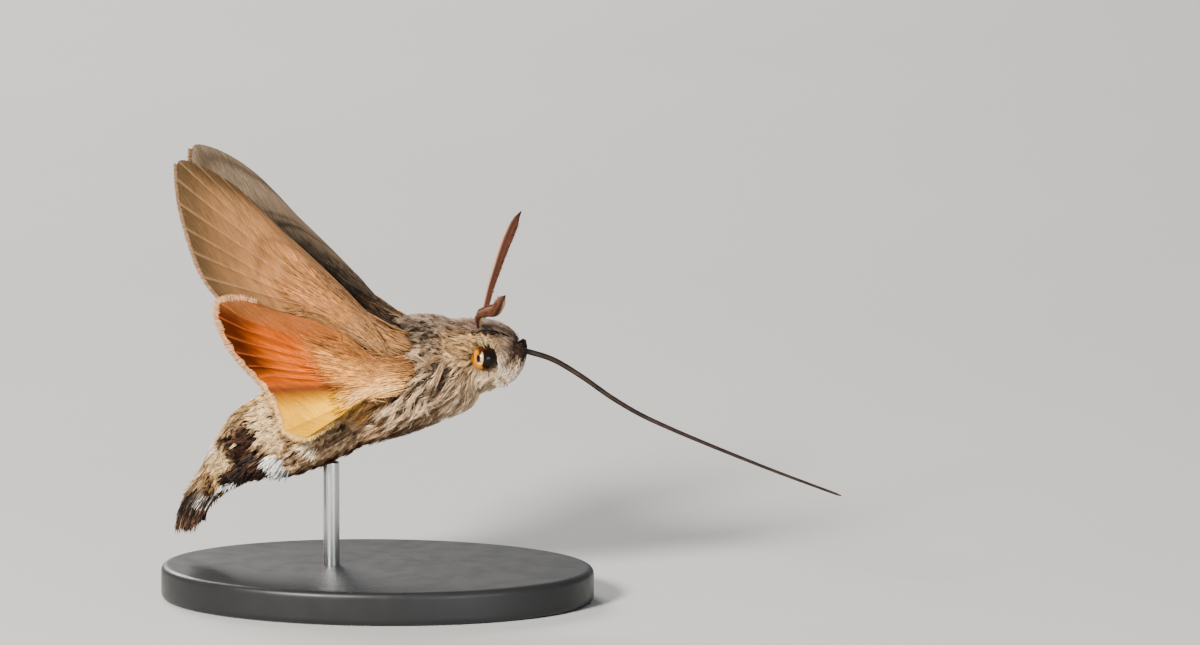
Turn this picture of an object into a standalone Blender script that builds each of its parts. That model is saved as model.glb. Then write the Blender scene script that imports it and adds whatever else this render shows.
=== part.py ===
"""A hummingbird hawk moth hovering, life size, held over a small oval base by one short rod.

Frame: metres, +Z up, +X the way the moth faces, +Y its left. The origin is the middle of the
underside of the base. Every size below is a real one, written in millimetres times MM.
"""

import dataclasses
import math
import random

import bmesh
import bpy
from mathutils import Matrix, Vector
from mathutils.bvhtree import BVHTree

MM = 0.001
GAP = 0.3 * MM
RIGHT, LEFT = -1, 1
SIDES = {"right": RIGHT, "left": LEFT}
SEED = 7

# The stand
BASE_LENGTH = 32 * MM
BASE_WIDTH = 23 * MM
BASE_HEIGHT = 2.5 * MM
BASE_EDGE = 0.4 * MM
ROD_RADIUS = 0.6 * MM
ROD_X = -3.4 * MM
BELLY_SLOPE = 0.55

# The body from face to tail: x, z, half height and half width of each section, coat included
TORSO_SECTIONS = {
    "face": (10.40, 18.85, 0.95, 0.85),
    "brow": (9.55, 18.75, 1.62, 1.45),
    "head": (8.05, 18.45, 2.25, 2.00),
    "neck": (6.75, 18.20, 2.45, 2.25),
    "shoulders": (5.51, 17.75, 3.30, 2.95),
    "wing_hinge": (3.31, 17.25, 3.80, 3.50),
    "thorax_end": (0.88, 16.15, 3.70, 3.50),
    "abdomen_start": (-1.69, 15.03, 3.45, 3.35),
    "second_ring": (-4.19, 13.83, 3.50, 3.50),
    "third_ring": (-6.47, 12.56, 3.30, 3.55),
    "fifth_ring": (-8.82, 11.59, 2.80, 3.20),
    "sixth_ring": (-10.50, 10.32, 2.00, 2.60),
    "tail_root": (-11.84, 8.90, 1.35, 2.00),
    "tail_core_end": (-12.95, 7.35, 0.80, 1.70),
}
TORSO_SIDES = 22
TORSO_RINGS = 40
CAP_LENGTH = 1.1 * MM
HEAD_CUT, THORAX_CUT, TAIL_CUT = 4.1 * MM, 11.15 * MM, 23.35 * MM
RING_FIRST, RING_PITCH, RING_STEP = 11.35 * MM, 2.05 * MM, 0.045

# Head parts
EYE_CENTRE = (8.15, 1.55, 18.35)
EYE_HALF = (1.00, 0.95, 0.93)
PALP_PATH = ((8.75, 1.05, 16.35), (9.55, 1.12, 17.05), (10.12, 1.10, 17.90), (10.80, 0.88, 19.35))
PALP_HALF_WIDTH, PALP_HALF_DEPTH = 0.52 * MM, 0.78 * MM
PROBOSCIS_ROOT_RADIUS, PROBOSCIS_TIP_RADIUS = 0.25 * MM, 0.15 * MM
PROBOSCIS_PATH = ((10.72, 18.74), (12.95, 18.10), (15.1, 16.87), (17.3, 15.35), (19.5, 14.08), (21.9, 13.0),
                  (24.4, 11.98), (26.9, 11.0), (29.4, 10.05), (31.9, 9.15), (34.3, 8.3))
PROBOSCIS_POINTS = 22
ANTENNA_LENGTH = 10.4 * MM
ANTENNA_AT = 2.35 * MM
ANTENNA_ANGLE = 29
ANTENNA_OFFSETS = {
    RIGHT: ((0, 0, 0), (0.24, 1.6, 1.06), (1.15, 4.2, 1.75), (2.1, 6.8, 2.35), (2.9, 9.2, 3.75)),
    LEFT: ((0, 0, 0), (0.35, 1.7, 1.97), (0.70, 3.5, 3.47), (1.20, 5.3, 5.17), (1.90, 7.1, 6.95)),
}
ANTENNA_RADII = ((0.0, 0.25), (0.1, 0.26), (0.45, 0.34), (0.75, 0.44), (0.9, 0.42), (0.97, 0.28), (1.0, 0.14))
ANTENNA_POINTS = 15

# Wings: thickness of the membrane and of a vein, and the outlines from root to margin
MEMBRANE, VEIN, STEM, RIM = 0.50 * MM, 0.86 * MM, 0.92 * MM, 0.42 * MM

FOREWING_ROOT = (7.9 * MM, 47)
FOREWING_APEX = (-13.9, 4.4, 33.1)
FOREWING_TORNUS = (-10.9, 3.0, 22.9)
FOREWING_CLEAR = GAP + STEM / 2 + 0.05 * MM
FOREWING_STATIONS = 10
FOREWING_CAMBER = 0.55 * MM

LEG_RADII = ((0.0, 0.34), (0.45, 0.30), (0.7, 0.25), (1.0, 0.25))


def lerp(a, b, share):
    """The point that share of the way from a to b."""
    return a + (b - a) * share


def catmull(points, share):
    """A smooth curve through points, read at share from 0 to 1, evenly by point."""
    last = len(points) - 1
    place = min(max(share, 0.0), 1.0) * last
    k = min(int(place), last - 1)
    t = place - k
    p1, p2 = points[k], points[k + 1]
    p0 = points[k - 1] if k else p1 * 2 - p2
    p3 = points[k + 2] if k + 2 <= last else p2 * 2 - p1
    return (p1 * 2 + (p2 - p0) * t + (p0 * 2 - p1 * 5 + p2 * 4 - p3) * t * t
            + (p1 * 3 - p0 - p2 * 3 + p3) * t * t * t) * 0.5


def evenly(points, count):
    """count points spaced evenly along the smooth curve through points."""
    fine = [catmull(points, k / 400) for k in range(401)]
    run = [0.0]
    for a, b in zip(fine, fine[1:]):
        run.append(run[-1] + (b - a).length)
    found, k = [], 0
    for step in range(count):
        wanted = run[-1] * step / (count - 1)
        while k < len(run) - 2 and run[k + 1] < wanted:
            k += 1
        found.append(lerp(fine[k], fine[k + 1], (wanted - run[k]) / max(run[k + 1] - run[k], 1e-12)))
    return found


class Torso:
    """The bent body: a spine in the plane Y = 0 with an oval section at each place along it."""

    def __init__(self):
        rows = [Vector((x, z, up, out)) * MM for x, z, up, out in TORSO_SECTIONS.values()]
        self.rows = [catmull(rows, k / 600) for k in range(601)]
        self.run = [0.0]
        for a, b in zip(self.rows, self.rows[1:]):
            self.run.append(self.run[-1] + math.hypot(b[0] - a[0], b[1] - a[1]))
        self.length = self.run[-1]

    def row(self, along):
        """Centre x, centre z, half height and half width at a distance along the spine."""
        along = min(max(along, 0.0), self.length)
        k = next((i for i, run in enumerate(self.run) if run >= along), len(self.run) - 1)
        k = max(k, 1)
        share = (along - self.run[k - 1]) / max(self.run[k] - self.run[k - 1], 1e-12)
        return lerp(self.rows[k - 1], self.rows[k], share)

    def spine(self, along):
        x, z, _, _ = self.row(along)
        return Vector((x, 0, z))

    def tangent(self, along):
        """The way the spine runs, from the face to the tail."""
        step = 0.4 * MM
        return (self.spine(along + step) - self.spine(along - step)).normalized()

    def dorsal(self, along):
        """The way the back faces, square to the spine."""
        t = self.tangent(along)
        return Vector((t.z, 0, -t.x))

    def rounding(self, along):
        """The share of its section that the body has near either end."""
        near = min(along, self.length - along) / CAP_LENGTH
        return 1.0 if near >= 1 else math.sqrt(max(0.0, 1 - (1 - near) ** 2))

    def ring_swell(self, along):
        """Each ring of the abdomen swells towards its hind edge."""
        if along < RING_FIRST:
            return 1.0
        place = ((along - RING_FIRST) / RING_PITCH) % 1.0
        return 1.0 + RING_STEP * (place - 0.5)

    def skin(self, along, degrees, side=RIGHT, raised=0.0):
        """A point of the surface. 0 degrees is the back, 90 the flank of that side and 180 the belly."""
        _, _, up, out = self.row(along)
        a = math.radians(degrees)
        size = self.rounding(along) * self.ring_swell(along)
        flank = Vector((0, side, 0))
        centre, dorsal = self.spine(along), self.dorsal(along)
        at = centre + dorsal * (up * size * math.cos(a)) + flank * (out * size * math.sin(a))
        if not raised:
            return at
        return at + self.facing(along, degrees, side) * raised

    def facing(self, along, degrees, side=RIGHT):
        """The outward direction of the surface at that point."""
        _, _, up, out = self.row(along)
        a = math.radians(degrees)
        flank = Vector((0, side, 0))
        return (self.dorsal(along) * (math.cos(a) / up) + flank * (math.sin(a) / out)).normalized()

    def cleared(self, point, side, margin):
        """The point, moved out sideways where it is nearer to the body than margin."""
        along = min((self.length * k / 120 for k in range(121)),
                    key=lambda s: (self.spine(s).x - point.x) ** 2 + (self.spine(s).z - point.z) ** 2)
        _, _, up, out = self.row(along)
        size = 1 + RING_STEP / 2
        height = (point - self.spine(along)).dot(self.dorsal(along)) / (up * size + margin)
        if abs(height) >= 1:
            return point
        least = (out * size + margin) * math.sqrt(1 - height * height)
        return Vector((point.x, side * max(side * point.y, least), point.z))


TORSO = Torso()


def material(name, colour, roughness, metallic=0.0):
    """A plain finish for one slot."""
    made = bpy.data.materials.new(name)
    made.use_nodes = True
    shader = made.node_tree.nodes["Principled BSDF"]
    shader.inputs["Base Color"].default_value = (*colour, 1)
    shader.inputs["Roughness"].default_value = roughness
    shader.inputs["Metallic"].default_value = metallic
    return made


def keep(obj, finish):
    """Links a finished node to the moth's collection with its finish."""
    obj.data.materials.clear()
    obj.data.materials.append(finish)
    for owner in list(obj.users_collection):
        owner.objects.unlink(obj)
    bpy.data.collections["hawk_moth"].objects.link(obj)
    if obj.type == "MESH":
        obj.data.shade_smooth()
    return obj


def object_from(name, bm):
    """A mesh object from bm, with its faces pointing out."""
    bm.normal_update()
    bmesh.ops.recalc_face_normals(bm, faces=bm.faces)
    mesh = bpy.data.meshes.new(name)
    bm.to_mesh(mesh)
    bm.free()
    obj = bpy.data.objects.new(name, mesh)
    bpy.context.scene.collection.objects.link(obj)
    return obj


def shaped_sphere(name, around, rings, place):
    """A sphere whose points are placed by place(share from pole to pole, turn about the poles)."""
    bm = bmesh.new()
    bmesh.ops.create_uvsphere(bm, u_segments=around, v_segments=rings, radius=1)
    for vert in bm.verts:
        share = math.acos(min(max(vert.co.z, -1), 1)) / math.pi
        vert.co = place(share, math.atan2(vert.co.y, vert.co.x))
    return object_from(name, bm)


def sphere_on_path(name, path, half_width, half_depth, around, rings, grown=0.0, flat_axis=Vector((0, 1, 0))):
    """A spindle along a smooth path. Its width lies along flat_axis."""
    points = [Vector(p) * MM for p in path]

    def place(share, turn):
        at, ahead = catmull(points, share), catmull(points, share + 0.02) - catmull(points, share - 0.02)
        ahead.normalize()
        depth = ahead.cross(flat_axis).normalized()
        width = depth.cross(ahead).normalized()
        round_off = math.sin(math.pi * share) ** 0.6
        end = ahead * (grown * (share - 0.5) * 2)
        return (at + end + width * (math.cos(turn) * (half_width + grown) * round_off)
                + depth * (math.sin(turn) * (half_depth + grown) * round_off))

    return shaped_sphere(name, around, rings, place)


def settled(obj):
    """Applies an object's modifiers to its mesh."""
    graph = bpy.context.evaluated_depsgraph_get()
    graph.update()
    mesh = bpy.data.meshes.new_from_object(obj.evaluated_get(graph))
    obj.modifiers.clear()
    old, obj.data = obj.data, mesh
    bpy.data.meshes.remove(old)
    return obj


def boolean(obj, operation, others, solver="EXACT"):
    """Joins the others to obj or cuts them from it, in one step, and removes them."""
    tools = bpy.data.collections.new("tools")
    bpy.context.scene.collection.children.link(tools)
    for other in others:
        for owner in list(other.users_collection):
            owner.objects.unlink(other)
        tools.objects.link(other)
    step = obj.modifiers.new(operation.lower(), "BOOLEAN")
    step.operation = operation
    step.operand_type = "COLLECTION"
    step.collection = tools
    step.solver = solver
    settled(obj)
    for other in others:
        bpy.data.objects.remove(other)
    bpy.data.collections.remove(tools)
    return keep_largest(obj)


def keep_largest(obj):
    """Drops all but the largest closed surface of a mesh."""
    bm = bmesh.new()
    bm.from_mesh(obj.data)
    left, shells = set(bm.verts), []
    while left:
        shell, edge = set(), [left.pop()]
        while edge:
            vert = edge.pop()
            shell.add(vert)
            for link in vert.link_edges:
                other = link.other_vert(vert)
                if other in left:
                    left.discard(other)
                    edge.append(other)
        shells.append(shell)
    largest = max(shells, key=len)
    bmesh.ops.delete(bm, geom=[v for v in bm.verts if v not in largest], context="VERTS")
    bm.to_mesh(obj.data)
    bm.free()
    return obj


def cut_at(bm, along, keep_front):
    """Cuts the body square to its spine, half a gap short of that place, and closes the cut."""
    shift = -GAP / 2 if keep_front else GAP / 2
    normal = TORSO.tangent(along)
    bmesh.ops.bisect_plane(bm, geom=[*bm.verts, *bm.edges, *bm.faces], plane_co=TORSO.spine(along + shift),
                           plane_no=normal if keep_front else -normal, clear_outer=True)
    rim = [edge for edge in bm.edges if edge.is_boundary]
    bmesh.ops.contextual_create(bm, geom=rim)


def torso_piece(name, start, end):
    """The stretch of the body between two cuts, each closed flat. None means an end of the body."""

    def place(share, turn):
        bunched = 0.5 - 0.5 * math.cos(math.pi * share)
        along = TORSO.length * (0.75 * share + 0.25 * bunched)
        return TORSO.skin(along, math.degrees(turn), LEFT)

    obj = shaped_sphere(name, TORSO_SIDES, TORSO_RINGS, place)
    bm = bmesh.new()
    bm.from_mesh(obj.data)
    if end is not None:
        cut_at(bm, end, keep_front=True)
    if start is not None:
        cut_at(bm, start, keep_front=False)
    bm.normal_update()
    bmesh.ops.recalc_face_normals(bm, faces=bm.faces)
    bm.to_mesh(obj.data)
    bm.free()
    return obj


def eye(name, side, grown=0.0):
    """An eyeball, set half into the side of the head."""
    centre = Vector((EYE_CENTRE[0], side * EYE_CENTRE[1], EYE_CENTRE[2])) * MM

    def place(share, turn):
        a = math.pi * share
        ball = Vector((math.sin(a) * math.cos(turn), math.cos(a), math.sin(a) * math.sin(turn)))
        return centre + Vector([d * (h * MM + grown) for d, h in zip(ball, EYE_HALF)])

    return shaped_sphere(name, 16, 10, place)


def palp(name, side, grown=0.0):
    """One of the two feelers that make the snout, rising in front of the face."""
    path = [(x, side * y, z) for x, y, z in PALP_PATH]
    return sphere_on_path(name, path, PALP_HALF_WIDTH, PALP_HALF_DEPTH, 10, 9, grown)


def tube(name, points, radii, finish, resolution=2):
    """A round tube along points, with its own radius at each."""
    curve = bpy.data.curves.new(name, "CURVE")
    curve.dimensions = "3D"
    curve.bevel_depth = 1.0
    curve.bevel_resolution = resolution
    curve.use_fill_caps = True
    spline = curve.splines.new("POLY")
    spline.points.add(len(points) - 1)
    for at, point, radius in zip(spline.points, points, radii):
        at.co = (*point, 1)
        at.radius = radius
    obj = bpy.data.objects.new(name, curve)
    bpy.context.scene.collection.objects.link(obj)
    return keep(obj, finish)


def stepped(table, share):
    """Reads a table of (share, value) rows by straight lines."""
    for (a, va), (b, vb) in zip(table, table[1:]):
        if share <= b:
            return lerp(va, vb, (share - a) / (b - a))
    return table[-1][1]


def antenna(name, side, finish):
    """A feeler that thickens to a club near its hooked tip, rising from the crown."""
    root = TORSO.skin(ANTENNA_AT, ANTENNA_ANGLE, side, GAP)
    offsets = [Vector((x, side * y, z)) for x, y, z in ANTENNA_OFFSETS[side]]
    length = sum((b - a).length for a, b in zip(offsets, offsets[1:]))
    path = [root + offset * (ANTENNA_LENGTH / length) for offset in offsets]
    points = evenly(path, ANTENNA_POINTS)
    radii = [stepped(ANTENNA_RADII, k / (ANTENNA_POINTS - 1)) * MM for k in range(ANTENNA_POINTS)]
    return tube(name, points, radii, finish)


def proboscis(name, finish):
    """The tongue, run out to its whole length of about 26 mm."""
    points = evenly([Vector((x, 0, z)) * MM for x, z in PROBOSCIS_PATH], PROBOSCIS_POINTS)
    radii = [lerp(PROBOSCIS_ROOT_RADIUS, PROBOSCIS_TIP_RADIUS, k / (PROBOSCIS_POINTS - 1))
             for k in range(PROBOSCIS_POINTS)]
    return tube(name, points, radii, finish)


# Veins of the forewing in order from the front edge. Each has the place where it leaves its stem, the
# station of that place and its end on the margin, as millimetres along the wing and across it.
FOREWING_VEINS = (
    ("costa", None, 0, (12.2, -1.0)),
    ("subcosta", (6.0, -0.1), 3, (13.9, -1.2)),
    ("radius_1", (6.6, 0.35), 3, (16.2, -1.32)),
    ("radius_2", (8.4, 0.35), 4, (18.3, -1.15)),
    ("radius_4", (10.2, 0.60), 5, (20.3, -0.62)),
    ("radius_5", (10.3, 0.85), 5, (21.6, 0.25)),
    ("media_1", (10.3, 1.25), 5, (20.75, 1.55)),
    ("media_2", (10.1, 1.95), 5, (19.35, 2.95)),
    ("media_3", (9.7, 2.75), 5, (17.75, 4.15)),
    ("cubitus_1", (8.2, 2.85), 4, (16.1, 5.20)),
    ("cubitus_2", (6.1, 2.50), 3, (14.2, 6.15)),
    ("anal", (5.6, 2.95), 3, (11.9, 6.55)),
    ("dorsum", (4.6, 2.75), 3, (9.6, 5.55)),
)
FOREWING_ROOT_SPREAD = 1.25
FOREWING_SCALE = 0.94
FOREWING_BARE_CELL = ("media_1", "media_2", "media_3")


def forewing_local(ray, station):
    """Where a ray of the forewing is at a station, as millimetres along the wing and across it."""
    name, branch, at, end = FOREWING_VEINS[ray]
    last = len(FOREWING_VEINS) - 1
    root = Vector((0.0, FOREWING_ROOT_SPREAD * ray / last))
    end = Vector(end)
    if branch is None:
        share = station / FOREWING_STATIONS
        bulge = Vector((0.0, -0.2 * math.sin(math.pi * share)))
        return lerp(root, end, share) + bulge
    branch = Vector(branch)
    if station <= at:
        return lerp(root, branch, station / at)
    return lerp(branch, end, (station - at) / (FOREWING_STATIONS - at))


def vein_thickness(name, station, at, last):
    """How thick the wing is on a vein: thick on a stem, thinner on a branch and thin at the margin."""
    if name in ("costa", "dorsum"):
        return MEMBRANE
    if station == last:
        return RIM
    if name in FOREWING_BARE_CELL and station < at:
        return MEMBRANE
    return STEM if station <= at else lerp(STEM, VEIN, (station - at) / (last - at))


class WingGrid:
    """A wing as a grid: rays run from the root to the margin, and a web lies between each two rays."""

    def __init__(self, name, rays, last, ray_point, ray_thickness, webs=1):
        self.name, self.last = name, last
        self.points, self.thickness = [], []
        for ray in range(rays):
            row = [ray_point(ray, station) for station in range(last + 1)]
            thick = [ray_thickness(ray, station) for station in range(last + 1)]
            if self.points:
                before = self.points[-1]
                for web in range(1, webs + 1):
                    share = web / (webs + 1)
                    self.points.append([lerp(a, b, share) for a, b in zip(before, row)])
                    self.thickness.append([MEMBRANE] * last + [RIM])
            self.points.append(row)
            self.thickness.append(thick)

    def build(self, facing, finish):
        """The grid as one closed body, thicker on the veins. Its thickness is measured along facing."""
        bm = bmesh.new()
        rows, columns = len(self.points), self.last + 1
        bmesh.ops.create_grid(bm, x_segments=columns - 1, y_segments=rows - 1, size=1)
        thick = bm.verts.layers.float.new("thickness")
        order = sorted(bm.verts, key=lambda v: (round(v.co.y, 4), round(v.co.x, 4)))
        for k, vert in enumerate(order):
            row, column = divmod(k, columns)
            vert[thick] = self.thickness[row][column]
            vert.co = self.points[row][column] - facing * (vert[thick] / 2)
        bmesh.ops.triangulate(bm, faces=bm.faces, quad_method="FIXED")
        grown = bmesh.ops.extrude_face_region(bm, geom=bm.faces[:], use_keep_orig=True)
        for item in grown["geom"]:
            if isinstance(item, bmesh.types.BMVert):
                item.co += facing * item[thick]
        return keep(object_from(self.name, bm), finish)


def forewing(name, side, finish):
    """The fore wing of one side, raised and swept back."""
    root = TORSO.skin(*FOREWING_ROOT, side, FOREWING_CLEAR)
    apex = Vector((FOREWING_APEX[0], side * FOREWING_APEX[1], FOREWING_APEX[2])) * MM
    tornus = Vector((FOREWING_TORNUS[0], side * FOREWING_TORNUS[1], FOREWING_TORNUS[2])) * MM
    span = (apex - root).normalized()
    across = tornus - root
    across = (across - span * across.dot(span)).normalized()
    outward = across.cross(span) * -side
    width = 6.5

    def ray_point(ray, station):
        along, over = forewing_local(ray, station)
        chord = math.sin(math.pi * min(max((over + 1.4) / (width + 1.4), 0), 1))
        reach = min(along / 8, 1)
        along, over = along * FOREWING_SCALE, over * FOREWING_SCALE
        at = root + span * (along * MM) + across * (over * MM) + outward * (FOREWING_CAMBER * chord * reach)
        return TORSO.cleared(at, side, FOREWING_CLEAR)

    def ray_thickness(ray, station):
        vein, _, at, _ = FOREWING_VEINS[ray]
        return vein_thickness(vein, station, at, FOREWING_STATIONS)

    grid = WingGrid(name, len(FOREWING_VEINS), FOREWING_STATIONS, ray_point, ray_thickness)
    return grid.build(outward, finish)


# Veins of the hind wing from the front edge to the lobe beside the abdomen: the share of the way at
# which each leaves the cell, and its end on the margin, for the left side.
HINDWING_VEINS = (
    ("front_edge", 0.0, (-6.6, 4.15, 22.0)),
    ("subcosta", 0.0, (-9.3, 4.25, 22.75)),
    ("radial_sector", 0.35, (-10.95, 4.25, 22.55)),
    ("media_1", 0.45, (-11.15, 4.05, 21.5)),
    ("media_2", 0.45, (-10.7, 3.80, 20.1)),
    ("media_3", 0.45, (-10.0, 3.50, 18.8)),
    ("cubitus_1", 0.35, (-9.2, 3.20, 17.75)),
    ("cubitus_2", 0.25, (-8.35, 2.95, 16.8)),
    ("fold", 0.0, (-7.6, 3.10, 16.0)),
    ("anal_1", 0.0, (-6.75, 4.25, 14.8)),
    ("anal_2", 0.0, (-6.1, 4.85, 13.3)),
    ("anal_3", 0.0, (-4.6, 4.98, 12.8)),
    ("inner_edge", 0.0, (-2.6, 4.75, 14.0)),
)
HINDWING_STATIONS = 7
HINDWING_CLEAR = GAP + VEIN / 2 + 0.05 * MM
HINDWING_ROOT_ALONG = (8.9 * MM, 10.0 * MM)
HINDWING_ROOT_ANGLE = (72, 88)
HINDWING_CELL_PULL = 0.18


def hindwing(name, side, finish):
    """The hind wing of one side: its main field stands up, and its lobe folds down over the flank."""
    roots = [TORSO.skin(along, angle, side, GAP + MEMBRANE / 2 + 0.25 * MM)
             for along, angle in zip(HINDWING_ROOT_ALONG, HINDWING_ROOT_ANGLE)]
    ends = [Vector((x, side * y, z)) * MM for _, _, (x, y, z) in HINDWING_VEINS]
    last = len(ends) - 1
    cell_line = ends[5]

    def ray_point(ray, station):
        vein, branch, _ = HINDWING_VEINS[ray]
        root = lerp(roots[0], roots[1], ray / last)
        share = station / HINDWING_STATIONS
        at = lerp(root, ends[ray], share)
        if branch and share < 1:
            pull = HINDWING_CELL_PULL * math.sin(math.pi * min(share / branch / 2, 1 - (share - branch) / 2))
            at = lerp(at, lerp(root, cell_line, share), max(pull, 0))
        if vein == "front_edge":
            at = at + Vector((0.35, side * 0.05, 0.75)) * (math.sin(math.pi * share) * MM)
        if vein == "inner_edge":
            at = at + Vector((0, side * 0.3, 0.3)) * (math.sin(math.pi * share) * MM)
        at = at + Vector((0, side * 0.45, 0)) * (math.sin(math.pi * share) * MM)
        return TORSO.cleared(at, side, HINDWING_CLEAR)

    def ray_thickness(ray, station):
        vein, branch, _ = HINDWING_VEINS[ray]
        if vein in ("front_edge", "inner_edge", "fold"):
            return MEMBRANE
        if station == HINDWING_STATIONS:
            return RIM
        if branch >= 0.45 and station / HINDWING_STATIONS < branch:
            return MEMBRANE
        return VEIN

    grid = WingGrid(name, len(HINDWING_VEINS), HINDWING_STATIONS, ray_point, ray_thickness)
    return grid.build(Vector((0, side, 0)), finish)


# Legs folded back along the belly: distances along the spine and angles round the body
LEG_ROUTES = {
    "fore": ((5.7, 128), (6.3, 140), (7.4, 150), (9.0, 153), (10.7, 154), (12.2, 156)),
    "mid": ((7.8, 122), (8.8, 131), (10.4, 137), (12.4, 140), (14.2, 143), (15.8, 147)),
    "hind": ((10.2, 112), (11.4, 119), (13.4, 123), (15.6, 127), (17.6, 133), (19.2, 140)),
}
LEG_POINTS = 11
LEG_CLEAR = 0.05 * MM
HIP_RISE, HIP_SHARE = 0.22 * MM, 0.78


def leg(name, route, side, finish):
    """A folded leg that lies along the coat, from its hip to its foot."""
    radii = [stepped(LEG_RADII, k / (LEG_POINTS - 1)) for k in range(LEG_POINTS)]
    rows = evenly([Vector((along, angle / 10, 0)) for along, angle in route], LEG_POINTS)
    lying = [GAP + LEG_CLEAR + radius * MM * 1.15 for radius in radii]
    raised = [GAP + radii[0] * MM * HIP_SHARE, lying[1] + HIP_RISE] + lying[2:]
    points = [TORSO.skin(row[0] * MM, row[1] * 10, side, up) for row, up in zip(rows, raised)]
    return tube(name, points, [radius * MM for radius in radii], finish)


# Locks of long hair and scales. Their half width and half thickness taper by this table from root to tip.
LOCK_TAPER = ((0.0, 0.0), (0.2, 0.85), (0.4, 1.0), (0.6, 0.85), (0.8, 0.5), (1.0, 0.0))
LOCK_THICK = 0.52 * MM
LOCK_SINK = 0.32 * MM
LOCK_SIDES, LOCK_RINGS = 4, 5
LOCK_SHARES = (1.0, 0.82, 0.66)
COAT_CLEAR = GAP + 0.02 * MM


@dataclasses.dataclass(frozen=True)
class Coat:
    """A patch of long coat: where its locks grow, and how long, wide, raised and turned they are."""

    along: tuple
    degrees: tuple
    rows: int
    count: int
    length: float
    width: float
    lift: float
    turn: float


HEAD_COATS = (
    Coat((1.9 * MM, 3.1 * MM), (120, 172), 3, 3, 1.5 * MM, 0.95 * MM, 0.30 * MM, -10),
    Coat((3.1 * MM, 3.4 * MM), (62, 105), 2, 3, 1.2 * MM, 0.80 * MM, 0.32 * MM, 6),
)
THORAX_COATS = (
    Coat((4.6 * MM, 7.2 * MM), (58, 108), 3, 4, 2.5 * MM, 1.05 * MM, 0.36 * MM, 16),
    Coat((4.6 * MM, 5.6 * MM), (126, 174), 2, 3, 2.0 * MM, 1.05 * MM, 0.34 * MM, 4),
    Coat((8.2 * MM, 9.4 * MM), (8, 32), 2, 2, 2.3 * MM, 1.10 * MM, 0.36 * MM, 6),
)
TUFT_RINGS = (2, 3, 4)
TUFT_ANGLES = (74, 90, 106, 122, 138)
TUFT_LENGTH = (1.7 * MM, 2.3 * MM, 2.0 * MM)
TUFT_WIDTH = 1.0 * MM
TUFT_LIFT = 0.62 * MM
TUFT_BACK = 1.1 * MM

# The tail fan: rows of vanes from the back to the belly. Each row's count, root and tip, and half spread.
TAIL_ROWS = (
    (5, (-12.35, 10.10), (-13.40, 8.60), (-14.00, 6.90), 1.25 * MM, 1.95 * MM),
    (8, (-12.20, 9.50), (-14.20, 7.30), (-14.55, 4.75), 1.45 * MM, 2.75 * MM),
    (7, (-11.85, 8.90), (-13.55, 6.90), (-14.15, 4.90), 1.50 * MM, 2.45 * MM),
    (6, (-11.25, 8.40), (-12.60, 6.70), (-13.50, 5.20), 1.40 * MM, 2.00 * MM),
)
VANE_WIDTH, VANE_THICK = 0.95 * MM, 0.55 * MM
VANE_DROOP = 0.25 * MM


class Neighbours:
    """The pieces that a lock has to stay clear of."""

    def __init__(self, objects):
        graph = bpy.context.evaluated_depsgraph_get()
        graph.update()
        self.solids = []
        for obj in objects:
            mesh = bpy.data.meshes.new_from_object(obj.evaluated_get(graph))
            mesh.transform(obj.matrix_world)
            self.solids.append(self.read(mesh))
            bpy.data.meshes.remove(mesh)

    @staticmethod
    def read(mesh):
        """A mesh's points and its search tree."""
        points = [vert.co.copy() for vert in mesh.vertices]
        return points, BVHTree.FromPolygons(points, [tuple(face.vertices) for face in mesh.polygons])

    def clear_of(self, mesh):
        """Whether a mesh keeps its gap to every neighbour."""
        points, tree = self.read(mesh)
        low = Vector([min(p[k] for p in points) - COAT_CLEAR for k in range(3)])
        high = Vector([max(p[k] for p in points) + COAT_CLEAR for k in range(3)])
        for others, other_tree in self.solids:
            if tree.overlap(other_tree):
                return False
            if any(other_tree.find_nearest(p, COAT_CLEAR)[0] is not None for p in points):
                return False
            near = [q for q in others if all(low[k] <= q[k] <= high[k] for k in range(3))]
            if any(tree.find_nearest(q, COAT_CLEAR)[0] is not None for q in near):
                return False
        return True


def lock(points, facing, width, thick, sides=LOCK_SIDES):
    """A flat, tapered lock along a smooth path, with its flat side towards facing."""

    def place(share, turn):
        ahead = (catmull(points, share + 0.02) - catmull(points, share - 0.02)).normalized()
        across = ahead.cross(facing).normalized()
        up = across.cross(ahead)
        taper = stepped(LOCK_TAPER, share)
        return (catmull(points, share) + across * (math.cos(turn) * width / 2 * taper)
                + up * (math.sin(turn) * thick / 2 * taper))

    return shaped_sphere("lock", sides, LOCK_RINGS, place)


def coat_lock(along, degrees, side, length, width, lift, turn):
    """A lock that rises from the body's surface and lies back along it."""
    rise = (-LOCK_SINK, lift * 0.45, lift, lift * 0.9)
    points = [TORSO.skin(along + length * k / 3, degrees + turn * k / 3, side, up) for k, up in enumerate(rise)]
    return lock(points, TORSO.facing(along + length / 2, degrees + turn / 2, side), width, LOCK_THICK)


def grown_clear(neighbours, grow):
    """The longest of a few lengths of a lock that stays clear of its neighbours, or nothing."""
    for share in LOCK_SHARES:
        made = grow(share)
        if neighbours.clear_of(made.data):
            return [made]
        bpy.data.objects.remove(made)
    return []


def coat_locks(coat, neighbours, chance):
    """The locks of one patch on both sides of the body, set like tiles and a little uneven."""
    locks = []
    for row in range(coat.rows):
        along = lerp(*coat.along, row / max(coat.rows - 1, 1))
        for k in range(coat.count):
            place = (k + 0.5 * (row % 2)) / max(coat.count - 0.5, 1)
            degrees = lerp(*coat.degrees, place) + chance.uniform(-2, 2)
            start = along + chance.uniform(-0.12, 0.12) * MM
            length = coat.length * chance.uniform(0.88, 1.08)
            for side in SIDES.values():
                locks += grown_clear(neighbours, lambda share: coat_lock(
                    start, degrees, side, length * share, coat.width, coat.lift, coat.turn * share))
    return locks


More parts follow.
